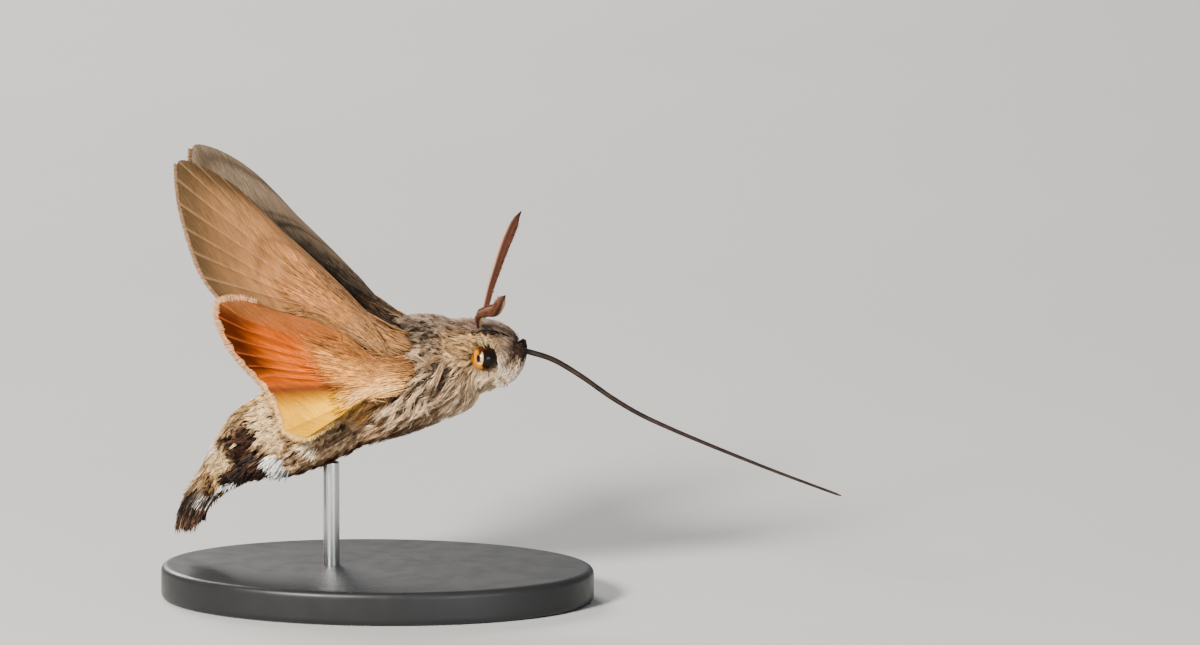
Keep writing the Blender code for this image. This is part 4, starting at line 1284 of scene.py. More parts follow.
    def bridge(self, body: BodyForm, side: Side, chance: np.random.Generator) -> Strands:
        """The hair that runs from the face over the joint of a palp towards its tip."""
        count = self.bridge_hairs
        down = chance.random(count)
        turn = side.value * np.radians(44 + 84 * down + chance.normal(0, 4, count))
        along = chance.uniform(0.35, 1.45, count)
        root = body.points(along, turn, np.full(count, -0.22))
        rise = body.points(along, turn, chance.uniform(0.05, 0.16, count))
        share = np.clip(0.90 - 0.74 * down + chance.normal(0, 0.05, count), 0.06, 0.93)
        behind = chance.uniform(0.0, 0.75, count)
        out = np.pi - behind if side is Side.RIGHT else behind
        end = self.points(side, share, out, chance.uniform(0.02, 0.13, count))
        reach = chance.uniform(0.55, 1.0, count)[:, None]
        end = blend(rise, end, reach)
        first, second = blend(rise, end, 0.30), blend(rise, end, 0.68)
        bulge = np.array([0.0, side.value * 0.10, 0.0])
        paths = np.stack([root, first + bulge, second + bulge, end], 1)
        tip = self.tints(share - 0.04, np.zeros(count), chance)
        root = self.tints(np.minimum(share - 0.10, 0.54), np.zeros(count), chance)
        place = np.stack([0.25 + 0.25 * down + (0.25 if side is Side.LEFT else 0.0), along / 2], 1)
        # The hairs' roots are painted darker than their tips: painted shade deep in the coat.
        return Strands(paths, body.facing(along, turn), chance.uniform(0.040, 0.075, count), np.full(count, 0.025),
                       root * 0.7, tip, place)

    def forelock(self, body: BodyForm, side: Side, chance: np.random.Generator) -> Strands:
        """The hair of the brow, which runs level from the crown to the palps' tips."""
        count = self.brow_hairs
        across = chance.random(count)
        turn = side.value * np.radians(2 + 56 * across)
        along = chance.uniform(0.15, 1.30, count)
        root = body.points(along, turn, np.full(count, -0.2))
        rise = body.points(along, turn, blend(0.30, 0.06, across) * chance.uniform(0.5, 1.2, count))
        behind = np.pi / 2 + (1.25 - 2.0 * across) * side.value
        end = self.points(side, chance.uniform(0.78, 0.97, count), behind, chance.uniform(0.0, 0.08, count))
        end[:, 1] *= blend(0.15, 1.0, np.sqrt(across))
        reach = chance.uniform(0.5, 1.0, count)[:, None]
        end = blend(rise, end, reach)
        paths = np.stack([root, blend(rise, end, 0.32), blend(rise, end, 0.68), end], 1)
        crest = 0.46 * (1 - 0.75 * across)
        paths[:, 1:3, 2] += (crest * reach[:, 0])[:, None]
        paths[:, 3, 2] += 0.12 * (1 - across)
        near = soft_step(paths[:, :, 0], 10.0, 10.6)
        mix = np.clip(0.5 + 0.38 * chance.normal(0, 1, count), 0, 1)
        tint = washed((0.030, 0.020, 0.016), ((0.42, 0.28, 0.20), mix))
        dark = (0.010, 0.006, 0.005)
        place = np.stack([(turn / (2 * np.pi)) % 1.0, along / 2], 1)
        # The roots are painted at six tenths of the tint: painted shade deep in the coat; the dark towards the snout
        # is its own colour.
        return Strands(paths, body.facing(along, turn), chance.uniform(0.040, 0.070, count), np.full(count, 0.025),
                       washed(tint, (dark, near[:, 1] * 0.8)) * 0.6, washed(tint, (dark, near[:, 3] * 0.9)), place)


@dataclass
class Trunk:
    """Head, thorax, abdomen and tail under one skin, and the coat over it."""

    body: BodyForm
    markings: BodyMarkings
    palps: Palps
    model: StrandModel
    rings: int = 150
    sides: int = 60
    lash_hairs: int = 22
    line_hairs: int = 110
    coats: dict[str, tuple[CoatPatch, ...]] = field(default_factory=lambda: {
        "coat_crown": (
            CoatPatch("crown_nap", (0.15, 4.2), (0, 68), 560, 8, 0.62, 0.060, 0.20, 0.45, 0.16, tone=0.30, tips=0.1),
            CoatPatch("crown", (0.3, 4.2), (0, 60), 250, 12, 0.80, 0.045, 0.15, 0.75, 0.42, tips=0.4),
        ),
        "coat_cheeks": (
            CoatPatch("cheek_nap", (0.5, 4.3), (48, 128), 520, 8, 0.60, 0.055, 0.20, 0.50, 0.04, lie=Lie.FROM_EYE,
                      tone=0.50, tips=0.1),
            CoatPatch("cheek", (0.5, 4.3), (50, 124), 230, 14, 0.90, 0.040, 0.15, 0.80, 0.24, lie=Lie.FROM_EYE,
                      tips=0.55),
            CoatPatch("throat_nap", (0.7, 4.6), (118, 180), 200, 8, 0.9, 0.060, 0.24, 0.50, 0.08, 10.0, tone=0.5),
            CoatPatch("throat", (0.7, 4.8), (108, 180), 120, 18, 1.55, 0.050, 0.16, 0.88, 0.46, 22.0, tips=0.6),
        ),
        "coat_shoulders": (
            CoatPatch("mantle_nap", (3.5, 8.6), (0, 92), 600, 8, 0.85, 0.072, 0.22, 0.50, 0.04, 3.0, tone=0.26,
                      tips=0.1),
            CoatPatch("mantle", (3.5, 8.4), (0, 84), 340, 14, 1.0, 0.045, 0.15, 0.86, 0.22, 4.0, 15.0, tips=0.35),
        ),
        "coat_rump": (
            CoatPatch("rump_nap", (8.2, 11.6), (0, 100), 480, 8, 0.95, 0.065, 0.22, 0.50, 0.05, tone=0.28, tips=0.1),
            CoatPatch("rump", (8.0, 11.6), (0, 96), 240, 13, 1.25, 0.050, 0.17, 0.75, 0.18, 3.0, 15.0, tips=0.5),
        ),
        "coat_flanks": (
            CoatPatch("flank_nap", (4.2, 11.2), (60, 142), 560, 9, 1.3, 0.075, 0.26, 0.45, 0.04, 20.0, tone=0.10,
                      tips=0.05),
            CoatPatch("flank_locks", (4.0, 10.8), (60, 138), 120, 34, 2.6, 0.058, 0.19, 0.94, 0.50, 20.0, 8.0,
                      tips=0.08, wave=0.09),
        ),
        "coat_breast": (
            CoatPatch("breast_nap", (4.2, 11.4), (122, 180), 420, 9, 1.3, 0.070, 0.25, 0.50, 0.05, 4.0, tone=0.22,
                      tips=0.1),
            CoatPatch("breast", (4.2, 11.2), (126, 180), 120, 22, 2.0, 0.055, 0.18, 0.88, 0.34, 5.0, 10.0, tips=0.35),
        ),
        "coat_abdomen_back": (
            CoatPatch("back_nap", (11.0, 23.6), (0, 84), 620, 8, 0.80, 0.095, 0.24, 0.35, 0.03, tone=0.35, tips=0.1,
                      steps=(0.0, 0.35, 0.80, 1.0)),
            CoatPatch("back_scales", (11.0, 23.6), (0, 84), 520, 10, 0.95, 0.075, 0.18, 0.50, 0.10, tips=0.4,
                      steps=(0.0, 0.35, 0.82, 1.0)),
        ),
        "coat_abdomen_side": (
            CoatPatch("side_nap", (11.0, 23.6), (80, 142), 620, 8, 0.85, 0.080, 0.24, 0.40, 0.04, 8.0, tone=0.24,
                      tips=0.1),
            CoatPatch("side_locks", (11.0, 23.6), (78, 142), 300, 16, 1.4, 0.055, 0.17, 0.82, 0.22, 9.0, 12.0,
                      tips=0.30),
            CoatPatch("root_locks", (22.6, 26.2), (0, 165), 190, 10, 1.25, 0.085, 0.22, 0.60, 0.12, 3.0, tips=0.3),
        ),
        "coat_abdomen_under": (
            CoatPatch("under_nap", (11.0, 23.8), (138, 180), 420, 9, 0.95, 0.075, 0.24, 0.45, 0.04, tone=0.6),
            CoatPatch("under_locks", (11.0, 23.8), (138, 180), 190, 13, 1.2, 0.062, 0.17, 0.70, 0.15, tips=0.3),
        ),
    })

    def skin(self) -> bpy.types.Object:
        """The one skin, with both palps joined to it by union."""
        share = np.linspace(0, 1, self.rings)
        bunched = 0.5 - 0.5 * np.cos(np.pi * share)
        along = 0.02 + (self.body.length - 0.04) * (0.8 * share + 0.2 * bunched)
        turn = np.linspace(0, 2 * np.pi, self.sides, endpoint=False)
        grid = np.meshgrid(along, turn, indexing="ij")
        depth = -self.body.depth(grid[0]) * np.clip(self.body.size(grid[0]), 0, 1)
        skin = loft("skin", self.body.points(grid[0], grid[1], depth))
        for side in Side:
            core = self.palps.core(side)
            step = skin.modifiers.new("palp", "BOOLEAN")
            step.operation, step.solver, step.object = "UNION", "EXACT", core
            clear_selection()
            bpy.context.view_layer.objects.active = skin
            skin.select_set(True)
            bpy.ops.object.modifier_apply(modifier=step.name)
            bpy.data.objects.remove(core)
        places, turns = self.body.place_of(read_points(skin))
        dark, pale, pale_share, _ = self.markings.read(places, turns)
        # Painted shade: the skin takes the markings' tints at a third of their brightness, as shade in the gaps
        # between the hairs.
        paint(skin, blend(dark, pale, pale_share[:, None] * 0.8) * 0.34)
        skin.data.shade_smooth()
        return skin

    @staticmethod
    def clear_of_eyes(strands: Strands) -> Strands:
        """Leaves out the strands that would cross an eye."""
        keep = np.ones(len(strands.paths), dtype=bool)
        x, y, z = HeadSizes.eye_centre
        half = np.array(HeadSizes.eye_half)
        for side in Side:
            off = (strands.paths - np.array([x, side.value * y, z])) / half
            outside = side.value * strands.paths[..., 1] > y - 0.1
            covered = outside & (np.hypot(off[..., 0], off[..., 2]) < 0.97)
            inside = np.linalg.norm(off, axis=-1) < 1.0
            keep &= ~(covered | inside)[:, 1:].any(axis=1)
        return strands.kept(keep)

    def swept(self, along: Array, degrees: Array, heading: Array, length: Array, raised: Array, width: float,
              tint: Array, chance: np.random.Generator) -> Strands:
        """Single hairs laid over the head, the same on both sides.

        Args:
            along: Their roots' distances along the spine.
            degrees: Their roots' angles from the back.
            heading: The ways they point: 0 is towards the tail and a quarter turn towards the belly.
            length: Their lengths.
            raised: The heights of their four points over the coat's surface.
            width: Their mean width.
            tint: Their tints.
            chance: The source of their unevenness.

        Returns:
            The strands.
        """
        count, lots = len(along), []
        for side in Side:
            a = np.clip(along[:, None] + (length * np.cos(heading))[:, None] * STEPS, 0.03, None)
            w = (length * np.sin(heading))[:, None] * STEPS
            turn = side.value * (np.radians(degrees)[:, None] + w / self.body.radius(along)[:, None])
            place = np.stack([(turn[:, 0] / (2 * np.pi)) % 1.0, a[:, 0] / 5], 1)
            # The roots are painted at six tenths of the tint: painted shade near the skin.
            lots.append(Strands(self.body.points(a, turn, raised), self.body.facing(a[:, 1], turn[:, 1]),
                                width * chance.uniform(0.8, 1.2, count), np.full(count, 0.02), tint * 0.6, tint,
                                place))
        return Strands.together(lots)

    def lashes(self, chance: np.random.Generator) -> Strands:
        """The long pale hairs that sweep over each eye's front, and the black line from antenna to snout."""
        count = self.lash_hairs
        raised = np.stack([np.full(count, -0.25), np.full(count, 0.20), np.full(count, 0.42),
                           chance.uniform(0.40, 0.55, count)], 1)
        tint = np.array((0.99, 0.80, 0.48)) * chance.uniform(0.7, 1.0, count)[:, None]
        lashes = self.swept(chance.uniform(1.5, 2.7, count), chance.uniform(50, 60, count),
                            np.radians(chance.uniform(108, 150, count)), chance.uniform(0.5, 0.85, count), raised,
                            0.035, tint, chance)
        count = self.line_hairs
        along = chance.uniform(0.5, 2.6, count)
        degrees = 42 + chance.normal(0, 0.9, count) - 2.5 * np.sin(along)
        line = self.swept(along, degrees, np.full(count, np.pi - 0.03), chance.uniform(0.4, 0.7, count),
                          np.tile((-0.1, 0.24, 0.36, 0.38), (count, 1)), 0.055,
                          np.tile((0.006, 0.005, 0.004), (count, 1)), chance)
        return Strands.together([lashes, line])

    def build(self, coat: bpy.types.Material, skin: bpy.types.Material, chance: np.random.Generator) -> None:
        """Builds and dresses the skin and every coat piece.

        Args:
            coat: The coat's finish.
            skin: The skin's finish.
            chance: The source of the coat's unevenness.
        """
        dress(self.skin(), skin, "coat", "head", "thorax", "abdomen", "tail_fan", "palp_left", "palp_right")
        for name, patches in self.coats.items():
            lots = [patch.grow(self.body, self.markings, chance) for patch in patches]
            if name in ("coat_crown", "coat_cheeks", "coat_shoulders"):
                lots = [self.clear_of_eyes(lot) for lot in lots]
            if name == "coat_cheeks":
                lots.append(self.lashes(chance))
            slot = "dark_coat" if name == "coat_abdomen_under" else "coat"
            dress(self.model.build(name, Strands.together(lots)), coat, slot)
        snout = [self.palps.coat(side, chance) for side in Side]
        for side in Side:
            snout += [self.palps.bridge(self.body, side, chance), self.palps.forelock(self.body, side, chance)]
        snout = self.clear_of_eyes(Strands.together(snout))
        dress(self.model.build("coat_palps", snout), coat, "coat")


@dataclass(frozen=True)
class SideTuft:
    """A fan of long flat scales that stands out from each side of a ring of the abdomen."""

    along: float
    degrees: tuple[float, float]
    length: float
    lift: float
    count: int
    dark: Tint
    pale: Tint
    share: float
    lean: float = 10.0

    def grow(self, body: BodyForm, chance: np.random.Generator) -> Strands:
        """The tuft's scales on both sides of the body."""
        lots = []
        for side in Side:
            place = chance.random(self.count)
            degrees = blend(*self.degrees, place)
            along = self.along + chance.uniform(-0.35, 0.35, self.count)
            length = self.length * chance.uniform(0.7, 1.1, self.count)
            heading = np.radians(self.lean + (place - 0.5) * 34 + chance.normal(0, 7, self.count))
            radius = body.radius(along)
            a = along[:, None] + (length * np.cos(heading))[:, None] * STEPS
            w = (length * np.sin(heading))[:, None] * STEPS
            turn = side.value * (np.radians(degrees)[:, None] + w / radius[:, None])
            lift = self.lift * chance.uniform(0.25, 1.15, self.count)
            raised = np.stack([-body.depth(along) - 0.05, 0.30 * lift, 0.85 * lift, lift], 1)
            paths = body.points(np.minimum(a, body.length - 0.02), turn, raised)
            paths[:, 2] = blend(paths[:, 1], paths[:, 3], 0.72)
            tint = washed(self.dark, (self.pale, np.clip(chance.normal(self.share, 0.30, self.count), 0, 1)))
            place_on = np.stack([(turn[:, 0] / (2 * np.pi)) % 1.0, a[:, 0] / body.length], 1)
            # The roots are painted at seven tenths of the tint: painted shade deep in the tuft.
            lots.append(Strands(paths, body.facing(a[:, 1], turn[:, 1]), chance.uniform(0.09, 0.16, self.count),
                                np.full(self.count, 0.035), tint * 0.7, tint, place_on))
        return Strands.together(lots)


SIDE_TUFTS = (
    SideTuft(16.6, (110, 130), 1.0, 0.35, 60, (0.20, 0.09, 0.04), (0.99, 0.84, 0.58), 0.75, 14.0),
    SideTuft(19.0, (108, 136), 2.0, 0.66, 150, (0.008, 0.006, 0.006), (0.99, 0.98, 0.94), 0.90, 26.0),
    SideTuft(20.7, (98, 138), 1.8, 0.45, 200, (0.005, 0.003, 0.003), (0.13, 0.06, 0.035), 0.22, 12.0),
    SideTuft(22.4, (100, 134), 1.6, 0.36, 150, (0.005, 0.003, 0.003), (0.10, 0.05, 0.03), 0.20, 10.0),
    SideTuft(23.6, (126, 133), 1.2, 0.45, 22, (0.30, 0.28, 0.26), (0.99, 0.98, 0.95), 0.90, 8.0),
)


@dataclass(frozen=True)
class TailFan:
    """The brush of long flat scales at the tail, in tiers from its back to its belly side."""

    rows: tuple[tuple[tuple[float, float], tuple[float, float], tuple[float, float], float, float], ...] = (
        ((-12.35, 10.10), (-13.40, 8.60), (-14.00, 6.90), 1.25, 1.95),
        ((-12.20, 9.50), (-14.20, 7.30), (-14.55, 4.75), 1.45, 2.75),
        ((-11.85, 8.90), (-13.55, 6.90), (-14.15, 4.90), 1.50, 2.45),
        ((-11.25, 8.40), (-12.60, 6.70), (-13.50, 5.20), 1.40, 2.00),
    )
    scales: int = 5200
    length: float = 1.9

    def grow(self, chance: np.random.Generator) -> Strands:
        """All the fan's scales, their place in it given by row, spread across and distance down."""
        count = self.scales
        row = chance.uniform(0, 3, count)
        across = np.sin(chance.uniform(-1, 1, count) * np.pi / 2) * 0.98
        start = chance.uniform(-0.12, 0.62, count)
        knots = np.array([[*root, *middle, *tip, near, far] for root, middle, tip, near, far in self.rows])
        at = curve_through(knots, row / 3)
        run = np.hypot(at[:, 2] - at[:, 0], at[:, 3] - at[:, 1]) + np.hypot(at[:, 4] - at[:, 2], at[:, 5] - at[:, 3])
        length = self.length * chance.uniform(0.65, 1.1, count)
        end = np.minimum(start + length / run, 1.0 - 0.12 * across ** 2 + chance.normal(-0.02, 0.045, count))
        shares = start[:, None] + (end - start)[:, None] * np.array([0.0, 0.40, 0.86, 1.0])
        x = self.bent(at[:, 0], at[:, 2], at[:, 4], shares)
        z = self.bent(at[:, 1], at[:, 3], at[:, 5], shares)
        spread = self.bent(at[:, 6] * 0.8, blend(at[:, 6], at[:, 7], 0.6), at[:, 7], shares)
        stray = chance.exponential(1.0, count)[:, None]
        lifted = (1.5 - row)[:, None] / 1.5 * np.array([-0.10, 0.0, 0.07, 0.13]) * stray
        x, z = x - lifted * 0.75, z + lifted * 0.45
        y = across[:, None] * spread
        z = z - 0.25 * (across ** 2)[:, None] * shares
        paths = np.stack([x, y, z], -1)
        facing = unit(np.stack([np.full(count, -0.75), 0.5 * across, np.full(count, 0.45)], 1))
        tint, tip = self.tints(row, across, shares[:, 2], chance)
        u = (0.5 + across * 0.24) * 0.48
        place = np.stack([np.where(row > 1.5, 0.5 + u, u), np.clip(start * 0.9 + 0.12, 0, 1)], 1)
        # The roots are painted at under half the tint: painted shade deep in the fan.
        return Strands(paths, facing, chance.uniform(0.10, 0.18, count), np.full(count, 0.035), tint * 0.45, tip,
                       place)

    @staticmethod
    def bent(a: Array, b: Array, c: Array, shares: Array) -> Array:
        """A smooth bend through three values, read at shares."""
        a, b, c = a[:, None], b[:, None], c[:, None]
        return (a * (1 - shares) * (1 - 2 * shares) + b * 4 * shares * (1 - shares)
                + c * shares * (2 * shares - 1))

    @staticmethod
    def tints(row: Array, across: Array, down: Array, chance: np.random.Generator) -> tuple[Array, Array]:
        """The scales' tints.

        Args:
            row: Their rows, 0 on the back and 3 below.
            across: How far out they stand, from -1 to 1.
            down: How far down the fan they reach.
            chance: The source of their unevenness.

        Returns:
            The tint of each scale and of its tip.
        """
        count = len(row)
        noise = chance.normal(0, 1, count)
        buff = washed((0.24, 0.12, 0.045), ((0.97, 0.68, 0.33), np.clip(0.5 + 0.4 * noise, 0, 1)))
        upper = (1 - soft_step(row, 1.2, 2.4)) * (1 - soft_step(down + 0.05 * noise, 0.30, 0.46))
        white = np.exp(-((np.abs(across) - 0.9) / 0.22) ** 2 - ((down - 0.46) / 0.035) ** 2
                       - ((row - 2.4) / 0.5) ** 2)
        tint = washed((0.008, 0.004, 0.003), ((0.26, 0.115, 0.060), np.clip(0.08 + 0.40 * noise, 0, 1)),
                      (buff, np.clip(upper * 0.9, 0, 1)), ((0.99, 0.94, 0.84), np.clip(white * 1.8, 0, 1)))
        rim = np.clip(1 - row * 1.6, 0, 1) * (chance.random(count) < 0.7)
        tipped = np.maximum(soft_step(down + 0.06 * chance.normal(0, 1, count), 0.78, 0.94), rim)
        tip = washed(tint, ((0.90, 0.55, 0.32), np.clip(tipped * 0.8, 0, 1)))
        return tint, np.where((chance.random(count) < 0.6)[:, None], tip, tint)


@dataclass(frozen=True)
class Eyes:
    """The two compound eyes, set half into the sides of the head."""

    cut: float = 0.55
    seat: float = 0.15

    def build(self, side: Side) -> bpy.types.Object:
        """One eye: a ball flattened to its oval, cut off inside the head and drawn in to a seat there."""
        x, y, z = HeadSizes.eye_centre
        clear_selection()
        bpy.ops.mesh.primitive_uv_sphere_add(segments=64, ring_count=40, radius=MM, location=(0, 0, 0))
        obj = start_piece(f"eye_{side.word}")
        bpy.ops.mesh.select_all(action="SELECT")
        bpy.ops.transform.resize(value=HeadSizes.eye_half)
        bpy.ops.transform.translate(value=(x * MM, side.value * y * MM, z * MM))
        bpy.ops.mesh.bisect(plane_co=(0, side.value * (y - self.cut) * MM, 0), plane_no=(0, -side.value, 0),
                            use_fill=True, clear_outer=True)
        bm = bmesh.from_edit_mesh(obj.data)
        for face in bm.faces:
            face.select = len(face.verts) > 8
        bmesh.update_edit_mesh(obj.data)
        bpy.ops.mesh.inset(thickness=self.seat * MM)
        bpy.ops.transform.translate(value=(0, -side.value * self.seat * MM, 0))
        finish_edit(obj)
        return dress(obj, EyeFinish(f"eye_glass_{side.word}", side).material(), "eye", f"eye_{side.word}")


@dataclass(frozen=True)
class Feelers:
    """The two antennae: ringed clubs with a pale hind stripe, a rusty comb and a fine hooked tip."""

    length: float = 10.4
    along: float = 2.35
    angle: float = 29.0
    gap: float = 0.3
    offsets: dict = field(default_factory=lambda: {
        Side.RIGHT: ((0, 0, 0), (0.24, 1.6, 1.06), (1.15, 4.2, 1.75), (2.1, 6.8, 2.35), (2.9, 9.2, 3.75)),
        Side.LEFT: ((0, 0, 0), (0.35, 1.7, 1.97), (0.70, 3.5, 3.47), (1.20, 5.3, 5.17), (1.90, 7.1, 6.95)),
    })
    radii: tuple[tuple[float, float], ...] = (
        (0.0, 0.22), (0.03, 0.29), (0.06, 0.22), (0.1, 0.23), (0.45, 0.36), (0.75, 0.46), (0.88, 0.42), (0.94, 0.27),
        (0.975, 0.12), (1.0, 0.03))
    rings: int = 132
    segments: int = 44
    sides: int = 20
    bristles: int = 900
    sunk: float = 0.55

    def path(self, body: BodyForm, side: Side) -> Array:
        """Points along one antenna, its root sunk into the coat."""
        root = body.points(np.array([self.along]), np.array([side.value * math.radians(self.angle)]),
                           np.array([self.gap]))[0]
        offsets = np.array([(x, side.value * y, z) for x, y, z in self.offsets[side]], dtype=float)
        length = np.linalg.norm(np.diff(offsets, axis=0), axis=1).sum()
        line = root + offsets * (self.length / length)
        sunk = line[0] - unit(line[1] - line[0]) * self.sunk
        return even_curve(np.vstack([sunk, line]), self.rings)

    def build(self, body: BodyForm, model: StrandModel, finish: bpy.types.Material, coat: bpy.types.Material,
              side: Side, chance: np.random.Generator) -> None:
        """Builds and dresses one antenna and its comb.

        Args:
            body: The body it grows from.
            model: The strand that its comb is made of.
            finish: The antenna's finish.
            coat: The comb's finish.
            side: Which antenna.
            chance: The source of unevenness.
        """
        path = self.path(body, side)
        share = np.linspace(0, 1, self.rings)
        saw = 1 + 0.11 * ((share * self.segments) % 1.0 - 0.5)
        radii = table(share, self.radii) * saw
        hook = soft_step(share, 0.93, 1.0)[:, None]
        path = path + hook * np.array([0.14, 0.0, 0.05])
        towards = np.array([-0.9, 0.0, 0.35]) * side.value
        obj = loft(f"antenna_{side.word}", tube_rings(path, radii, self.sides, 0.86, towards))
        turn = read_layer(obj, "around") * 2 * np.pi
        far = read_layer(obj, "along")
        stripe = soft_step(np.cos(turn), 0.50, 0.85)
        comb = soft_step(-np.cos(turn), -0.05, 0.35)
        edge = (far * self.segments) % 1.0
        tint = washed((0.040, 0.011, 0.007), ((0.100, 0.030, 0.013), comb),
                      ((0.50, 0.28, 0.15), stripe * (0.7 + 0.3 * edge)),
                      ((0.020, 0.009, 0.006), soft_step(far, 0.92, 0.98) * 0.9))
        paint(obj, tint * (0.70 + 0.45 * edge)[:, None])
        dress(obj, finish, "feeler", f"antenna_{side.word}")
        dress(model.build(f"comb_{side.word}", self.comb(path, radii, towards, chance)), coat, "feeler")

    def comb(self, path: Array, radii: Array, towards: Array, chance: np.random.Generator) -> Strands:
        """The rows of short bristles down the front of an antenna."""
        count = self.bristles
        place = chance.uniform(0.12, 0.90, count)
        turn = np.pi + np.where(chance.random(count) < 0.5, 1, -1) * chance.normal(0.85, 0.18, count)
        step = place * (len(path) - 1)
        at = np.stack([np.interp(step, np.arange(len(path)), path[:, k]) for k in range(3)], 1)
        radius = np.interp(step, np.arange(len(path)), radii)
        ahead = unit(np.stack([np.interp(step, np.arange(len(path)), np.gradient(path[:, k])) for k in range(3)], 1))
        across = unit(np.cross(ahead, towards))
        up = np.cross(across, ahead)
        out = up * np.cos(turn)[:, None] + across * np.sin(turn)[:, None]
        length = chance.uniform(0.12, 0.22, count)
        paths = (at[:, None] + out[:, None] * (radius[:, None] * 0.8 + length[:, None] * STEPS)[..., None]
                 + ahead[:, None] * (length[:, None] * 0.55 * STEPS ** 1.5)[..., None])
        tint = washed((0.03, 0.010, 0.006), ((0.22, 0.080, 0.034), chance.random(count)))
        # The roots are painted at six tenths of the tint: painted shade at the bristles' foot.
        return Strands(paths, unit(np.cross(out, across)), chance.uniform(0.018, 0.030, count), np.full(count, 0.015),
                       tint * 0.6, tint, np.stack([turn / (2 * np.pi) % 1.0, place], 1))


@dataclass(frozen=True)
class Tongue:
    """The proboscis, run out to its whole length: two half tubes laid side by side."""

    path: tuple[tuple[float, float], ...] = (
        (10.25, 18.80), (10.72, 18.74), (12.95, 18.10), (15.1, 16.87), (17.3, 15.35), (19.5, 14.08), (21.9, 13.0),
        (24.4, 11.98), (26.9, 11.0), (29.4, 10.05), (31.9, 9.15), (34.3, 8.3))
    root_radius: float = 0.25
    tip_radius: float = 0.11
    rings: int = 170
    sides: int = 20
    groove: float = 0.22
    last_radii: tuple[float, float, float] = (0.85, 0.6, 0.25)

    def build(self, finish: bpy.types.Material) -> None:
        """Builds and dresses the tongue."""
        line = even_curve(np.array([(x, 0.0, z) for x, z in self.path]), self.rings)
        share = np.linspace(0, 1, self.rings)
        radii = blend(self.root_radius, self.tip_radius, share)
        radii[-3:] *= np.array(self.last_radii)
        turn = np.linspace(0, 2 * np.pi, self.sides, endpoint=False)
        section = 1 - self.groove * np.exp(-(np.sin(turn) / 0.28) ** 2)
        obj = loft("tongue", tube_rings(line, radii, self.sides, 0.92, np.array([0.0, 0.0, 1.0]), section))
        dress(obj, finish, "tongue", "proboscis")


@dataclass(frozen=True)
class Legs:
    """The six legs, folded back along the belly: thigh, shin with spurs, and a foot of five joints with claws."""

    routes: dict = field(default_factory=lambda: {
        "fore": ((5.7, 128), (6.3, 140), (7.4, 150), (9.0, 153), (10.7, 154), (12.2, 156)),
        "mid": ((7.8, 122), (8.8, 131), (10.4, 137), (12.4, 140), (14.2, 143), (15.8, 147)),
        "hind": ((10.2, 112), (11.4, 119), (13.4, 123), (15.6, 127), (17.6, 133), (19.2, 140)),
    })
    profile: tuple[tuple[float, float], ...] = (
        (0.0, 0.22), (0.04, 0.33), (0.12, 0.34), (0.30, 0.29), (0.37, 0.19), (0.40, 0.22), (0.46, 0.27), (0.60, 0.24),
        (0.665, 0.20), (0.68, 0.15), (0.70, 0.19), (0.745, 0.20), (0.76, 0.14), (0.775, 0.18), (0.81, 0.18),
        (0.825, 0.13), (0.84, 0.17), (0.87, 0.17), (0.885, 0.12), (0.90, 0.16), (0.93, 0.16), (0.945, 0.11),
        (0.96, 0.15), (0.99, 0.13), (1.0, 0.06))
    rings: int = 90
    sides: int = 14
    spurs: tuple[tuple[float, float, float], ...] = ((0.66, 1.0, 0.35), (0.66, 0.75, -0.35), (0.55, 0.8, 0.3))
    small_rings: int = 8
    spur_radii: tuple[float, float] = (0.09, 0.015)
    claw_radii: tuple[float, float] = (0.05, 0.01)

    def line(self, body: BodyForm, route: str, side: Side) -> Array:
        """The middle line of one leg."""
        rows = even_curve(np.array([(along, angle / 10) for along, angle in self.routes[route]]), self.rings)
        share = np.linspace(0, 1, self.rings)
        cover = table(share, ((0.0, 0.34), (0.45, 0.30), (0.7, 0.25), (1.0, 0.25)))
        lying = 0.52 * cover - 0.10
        raised = lying - 0.55 * (1 - soft_step(share, 0.0, 0.30))
        turn = side.value * np.radians(rows[:, 1] * 10)
        return body.points(rows[:, 0], turn, raised)

    def build(self, body: BodyForm, route: str, side: Side, finish: bpy.types.Material) -> None:
        """Builds and dresses one leg.

        Args:
            body: The body it is folded against.
            route: Which pair it belongs to.
            side: Its side.
            finish: Its finish.
        """
        line = self.line(body, route, side)
        share = np.linspace(0, 1, self.rings)
        leg = loft(f"leg_{route}_{side.word}", tube_rings(line, table(share, self.profile), self.sides, 0.85))
        ahead, down = unit(np.gradient(line, axis=0)), np.array([0.0, 0.0, -1.0])
        count = self.small_rings
        steps, extras = np.linspace(0, 1, count), []
        for at, length, out in self.spurs:
            k = int(at * (self.rings - 1))
            way = unit(ahead[k] + down * 0.30 + np.array([0.0, side.value * out, 0.0]))
            spur = line[k] + way * (steps * length)[:, None]
            extras.append(loft("spur", tube_rings(spur, np.linspace(*self.spur_radii, count), count)))
        for out in (-1, 1):
            way = unit(ahead[-1] + np.array([0.0, out * 0.5, 0.0]))
            claw = line[-2] + way * (steps * 0.42)[:, None] + down * (steps ** 2 * 0.22)[:, None]
            extras.append(loft("claw", tube_rings(claw, np.linspace(*self.claw_radii, count), count)))
        joined(leg, extras)
        dress(leg, finish, "leg", f"leg_{route}_{side.word}")


@dataclass(frozen=True)
class Vein:
    """One vein: its name, where it leaves its stem, the station of that place and its end on the margin."""

    name: str
    branch: tuple[float, ...] | None
    station: float
    end: tuple[float, ...]


@dataclass(frozen=True)
class WingSizes:
    """The sizes that every wing shares, in millimetres."""

    membrane: float = 0.10
    ridge: float = 0.075
    splits: tuple[float, ...] = (0.0, 0.05, 0.12, 0.30, 0.50, 0.70, 0.88, 0.95)
    steps: int = 6


